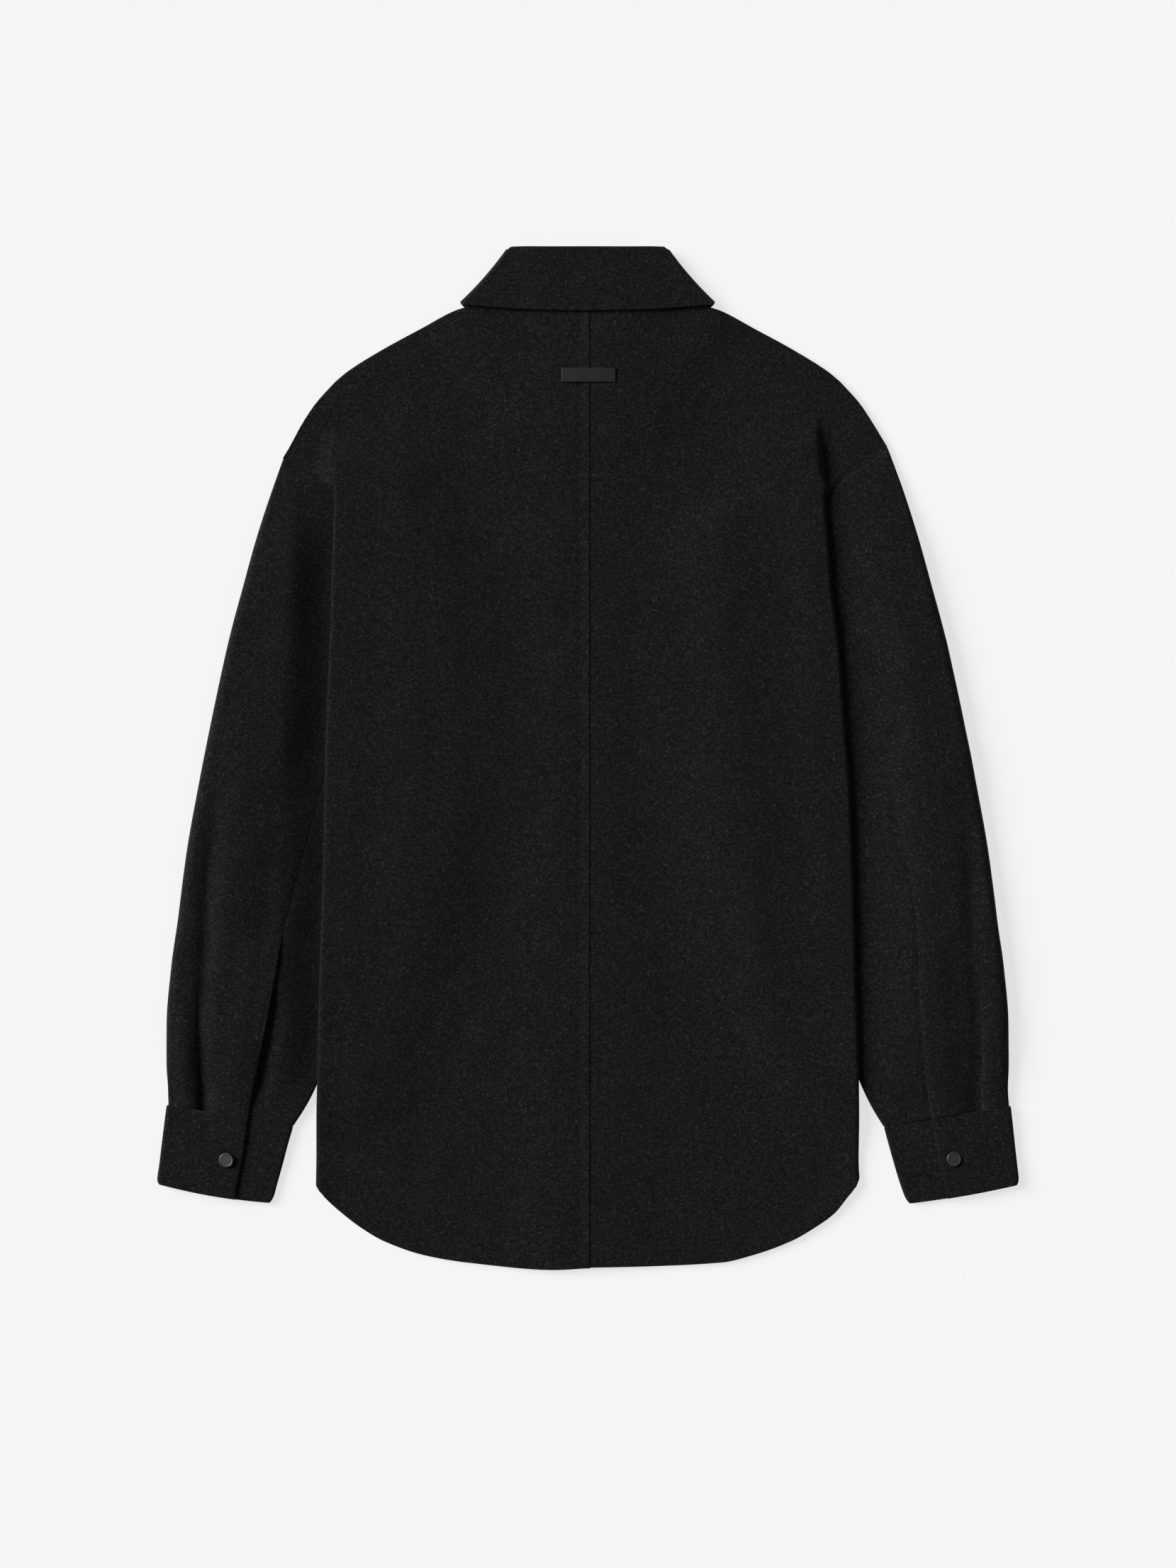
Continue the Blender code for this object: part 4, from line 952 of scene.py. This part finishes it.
def make_snaps(metal):
    """Turned caps with a rolled rim and a slightly hollow face."""
    for side, sign in SIDES.items():
        place = SNAP_PLACE[side]
        base = CUFF_LAP_TOP + CUFF_CLOTH / 2 + GAP
        angles = 2 * np.pi * np.arange(SNAP_STEPS) / SNAP_STEPS
        points = [(place.x * sign, place.y, base)]
        for ring in SNAP_PROFILE:
            reach = ring.reach * SNAP_DIAMETER / 2
            for angle in angles:
                points.append((place.x * sign + reach * np.cos(angle), place.y + reach * np.sin(angle),
                               base + ring.height * SNAP_HEIGHT - SNAP_LEAN * sign * reach * np.cos(angle)))
        points.append((place.x * sign, place.y, base + SNAP_PROFILE[-1].height * SNAP_HEIGHT))
        faces = [(0, 1 + (k + 1) % SNAP_STEPS, 1 + k) for k in range(SNAP_STEPS)]
        for ring in range(len(SNAP_PROFILE) - 1):
            low = 1 + ring * SNAP_STEPS
            for k in range(SNAP_STEPS):
                after = (k + 1) % SNAP_STEPS
                faces.append((low + k, low + after, low + SNAP_STEPS + after, low + SNAP_STEPS + k))
        last = 1 + (len(SNAP_PROFILE) - 1) * SNAP_STEPS
        faces += [(last + k, last + (k + 1) % SNAP_STEPS, len(points) - 1) for k in range(SNAP_STEPS)]
        dress(add_mesh(f"snap_cap_{side}", points, faces), f"cuff_snap_{side}", metal)


class Finish:
    """A node material with short calls for what the finishes here share."""

    def __init__(self, name):
        self.material = bpy.data.materials.new(name)
        self.material.use_nodes = True
        self.tree = self.material.node_tree
        self.shader = self.tree.nodes["Principled BSDF"]
        self.place = self.node("ShaderNodeTexCoord").outputs["Object"]

    def node(self, kind, **settings):
        node = self.tree.nodes.new(kind)
        for name, value in settings.items():
            setattr(node, name, value)
        return node

    def link(self, start, end):
        self.tree.links.new(start, end)

    def feed(self, socket, value):
        self.link(value, self.shader.inputs[socket])

    def set(self, socket, value):
        """A value that is the same all over, on the shader's own socket."""
        self.shader.inputs[socket].default_value = value

    def noise(self, size, detail=2.0, place=None):
        """Even noise whose lumps are about size millimetres across, from 0 to 1."""
        return self.noise_node(1 / (size * MM), detail, place or self.place)["Fac"]

    def noise_node(self, scale, detail, place):
        noise = self.node("ShaderNodeTexNoise")
        noise.inputs["Scale"].default_value = scale
        noise.inputs["Detail"].default_value = detail
        self.link(place, noise.inputs["Vector"])
        return noise.outputs

    def ramp(self, value, low, high):
        """A value's part from low to high, stretched to 0 to 1."""
        ramp = self.node("ShaderNodeMapRange", interpolation_type="SMOOTHSTEP")
        ramp.inputs["From Min"].default_value = low
        ramp.inputs["From Max"].default_value = high
        self.link(value, ramp.inputs["Value"])
        return ramp.outputs["Result"]

    def math(self, operation, first, second):
        node = self.node("ShaderNodeMath", operation=operation)
        for socket, value in zip(node.inputs, (first, second)):
            if isinstance(value, (int, float)):
                socket.default_value = value
            else:
                self.link(value, socket)
        return node.outputs["Value"]

    def mix(self, share, first, second):
        """A colour between two, each a colour or a link."""
        node = self.node("ShaderNodeMix", data_type="RGBA")
        self.link(share, node.inputs["Factor"])
        for socket, value in zip((node.inputs["A"], node.inputs["B"]), (first, second)):
            socket = [s for s in node.inputs if s.name == socket.name and s.type == "RGBA"][0]
            if isinstance(value, tuple):
                socket.default_value = (*value, 1)
            else:
                self.link(value, socket)
        return [s for s in node.outputs if s.type == "RGBA"][0]

    def warped(self, size, reach):
        """Places pushed about by up to reach millimetres, so that straight marks curl."""
        push = self.node("ShaderNodeVectorMath", operation="MULTIPLY_ADD")
        push.inputs[1].default_value = (reach * MM,) * 3
        self.link(self.noise_node(1 / (size * MM), 1.0, self.place)["Color"], push.inputs[0])
        self.link(self.place, push.inputs[2])
        return push.outputs["Vector"]

    def fibres(self, place, angle, length, width, low, high):
        """Thin marks that run one way, from 0 between them to 1 on them."""
        turn = self.node("ShaderNodeMapping", vector_type="TEXTURE")
        turn.inputs["Rotation"].default_value = (0, 0, np.radians(angle))
        turn.inputs["Scale"].default_value = (length * MM, width * MM, width * MM)
        self.link(place, turn.inputs["Vector"])
        return self.ramp(self.noise_node(1.0, 1.0, turn.outputs["Vector"])["Fac"], low, high)

    def bump(self, height, distance, strength, below=None):
        node = self.node("ShaderNodeBump")
        node.inputs["Distance"].default_value = distance * MM
        node.inputs["Strength"].default_value = strength
        self.link(height, node.inputs["Height"])
        if below is not None:
            self.link(below, node.inputs["Normal"])
        return node.outputs["Normal"]


def wool_finish(name, dark, light, fibre):
    """Felted wool: a mottled dark ground under short curled fibres, some of them lighter."""
    finish = Finish(name)
    curled = finish.warped(9, 5)
    grain = finish.noise(1.9, 2)
    cloud = finish.noise(30, 2)
    ground = finish.math("ADD", finish.math("MULTIPLY", grain, 0.88), finish.math("MULTIPLY", cloud, 0.12))
    colour = finish.mix(finish.ramp(ground, 0.38, 0.66), dark, light)
    marks = None
    for angle in (12, 74, 131):
        layer = finish.fibres(curled, angle, 4.0, 0.8, 0.58, 0.72)
        marks = layer if marks is None else finish.math("MAXIMUM", marks, layer)
    sparse = finish.math("MULTIPLY", marks, finish.ramp(finish.noise(2.2, 1), 0.4, 0.64))
    colour = finish.mix(finish.math("MULTIPLY", sparse, 0.6), colour, fibre)
    finish.feed("Base Color", colour)
    rough = finish.ramp(grain, 0.9, 0.1)
    spread_rough = finish.node("ShaderNodeMapRange")
    spread_rough.inputs["To Min"].default_value = 0.82
    spread_rough.inputs["To Max"].default_value = 1.0
    finish.link(rough, spread_rough.inputs["Value"])
    finish.feed("Roughness", spread_rough.outputs["Result"])
    felt = finish.bump(finish.noise(3.4, 2), 0.3, 0.5)
    nap = finish.bump(finish.math("ADD", marks, grain), 0.1, 0.5, felt)
    finish.feed("Normal", nap)
    finish.set("Specular IOR Level", 0.12)
    finish.set("Sheen Weight", 0.06)
    finish.set("Sheen Roughness", 0.45)
    return finish.material


def tab_finish():
    """A matt moulded strip with a fine pebbled face."""
    finish = Finish("tab_strip")
    grain = finish.noise(0.5, 2)
    colour = finish.mix(finish.ramp(grain, 0.3, 0.7), TAB_DARK, TAB_LIGHT)
    finish.feed("Base Color", colour)
    finish.feed("Normal", finish.bump(grain, 0.06, 0.5))
    finish.set("Roughness", 0.6)
    finish.set("Specular IOR Level", 0.28)
    return finish.material


def thread_finish():
    """Twisted thread."""
    finish = Finish("tab_thread")
    twist = finish.fibres(finish.place, 52, 1.5, 0.16, 0.4, 0.6)
    dark = tuple(part * 0.6 for part in THREAD)
    finish.feed("Base Color", finish.mix(twist, dark, THREAD))
    finish.feed("Normal", finish.bump(twist, 0.05, 0.6))
    finish.set("Roughness", 0.7)
    return finish.material


def snap_finish():
    """Dark lacquered metal, brushed round and a little worn."""
    finish = Finish("snap_metal")
    cloud = finish.noise(1.8, 4)
    colour = finish.mix(finish.ramp(cloud, 0.52, 0.78), SNAP_METAL, SNAP_WORN)
    finish.feed("Base Color", colour)
    finish.feed("Normal", finish.bump(finish.noise(0.25, 2), 0.02, 0.4))
    finish.set("Metallic", 0.75)
    finish.set("Roughness", 0.42)
    return finish.material


def make_floor():
    """A plain pale sheet under the garment, with a glow of its own for the photo's white ground."""
    half = FLOOR_SIZE / 2
    mesh = bpy.data.meshes.new("floor")
    corners = [(-half, -half), (half, -half), (half, half), (-half, half)]
    mesh.from_pydata([(*corner, -FLOOR_DROP) for corner in corners], [], [(0, 1, 2, 3)])
    floor = bpy.data.objects.new("floor", mesh)
    bpy.context.scene.collection.objects.link(floor)
    finish = Finish("floor_paper")
    grain = finish.noise(40, 2)
    shade = tuple(part * 0.985 for part in FLOOR)
    finish.feed("Base Color", finish.mix(grain, shade, FLOOR))
    finish.set("Roughness", 0.9)
    finish.set("Specular IOR Level", 0.1)
    finish.set("Emission Color", (1, 1, 1, 1))
    finish.set("Emission Strength", FLOOR_GLOW)
    mesh.materials.append(finish.material)


def make_studio():
    """An even fill from all round, a soft key from the left, and the camera straight above."""
    scene = bpy.context.scene
    world = bpy.data.worlds.new("studio")
    world.use_nodes = True
    fill = world.node_tree.nodes["Background"]
    fill.inputs["Color"].default_value = (1, 1, 1, 1)
    fill.inputs["Strength"].default_value = FILL_STRENGTH
    scene.world = world
    light = bpy.data.lights.new("key", "SUN")
    light.angle = np.radians(KEY_SPREAD)
    light.energy = KEY_STRENGTH
    key = bpy.data.objects.new("key", light)
    key.location = KEY_FROM
    key.rotation_euler = key.location.to_track_quat("Z", "Y").to_euler()
    scene.collection.objects.link(key)
    lens = bpy.data.cameras.new("camera")
    lens.sensor_fit = "VERTICAL"
    lens.sensor_height = SENSOR
    lens.lens = SENSOR * CAMERA_HEIGHT / FIELD_HEIGHT
    lens.clip_end = 50
    camera = bpy.data.objects.new("camera", lens)
    camera.location = (*VIEW_CENTRE, CAMERA_HEIGHT)
    scene.collection.objects.link(camera)
    scene.camera = camera
    scene.view_settings.view_transform = "Standard"
    scene.view_settings.look = "None"


def main():
    make_studio()
    make_floor()
    wool = wool_finish("wool", WOOL_DARK, WOOL_LIGHT, WOOL_FIBRE)
    cuff_wool = wool_finish("cuff_wool", CUFF_DARK, CUFF_LIGHT, CUFF_FIBRE)
    make_body(wool)
    make_sleeves(wool)
    make_cuffs(cuff_wool)
    make_collar(wool)
    make_tab(tab_finish(), thread_finish())
    make_snaps(snap_finish())


main()
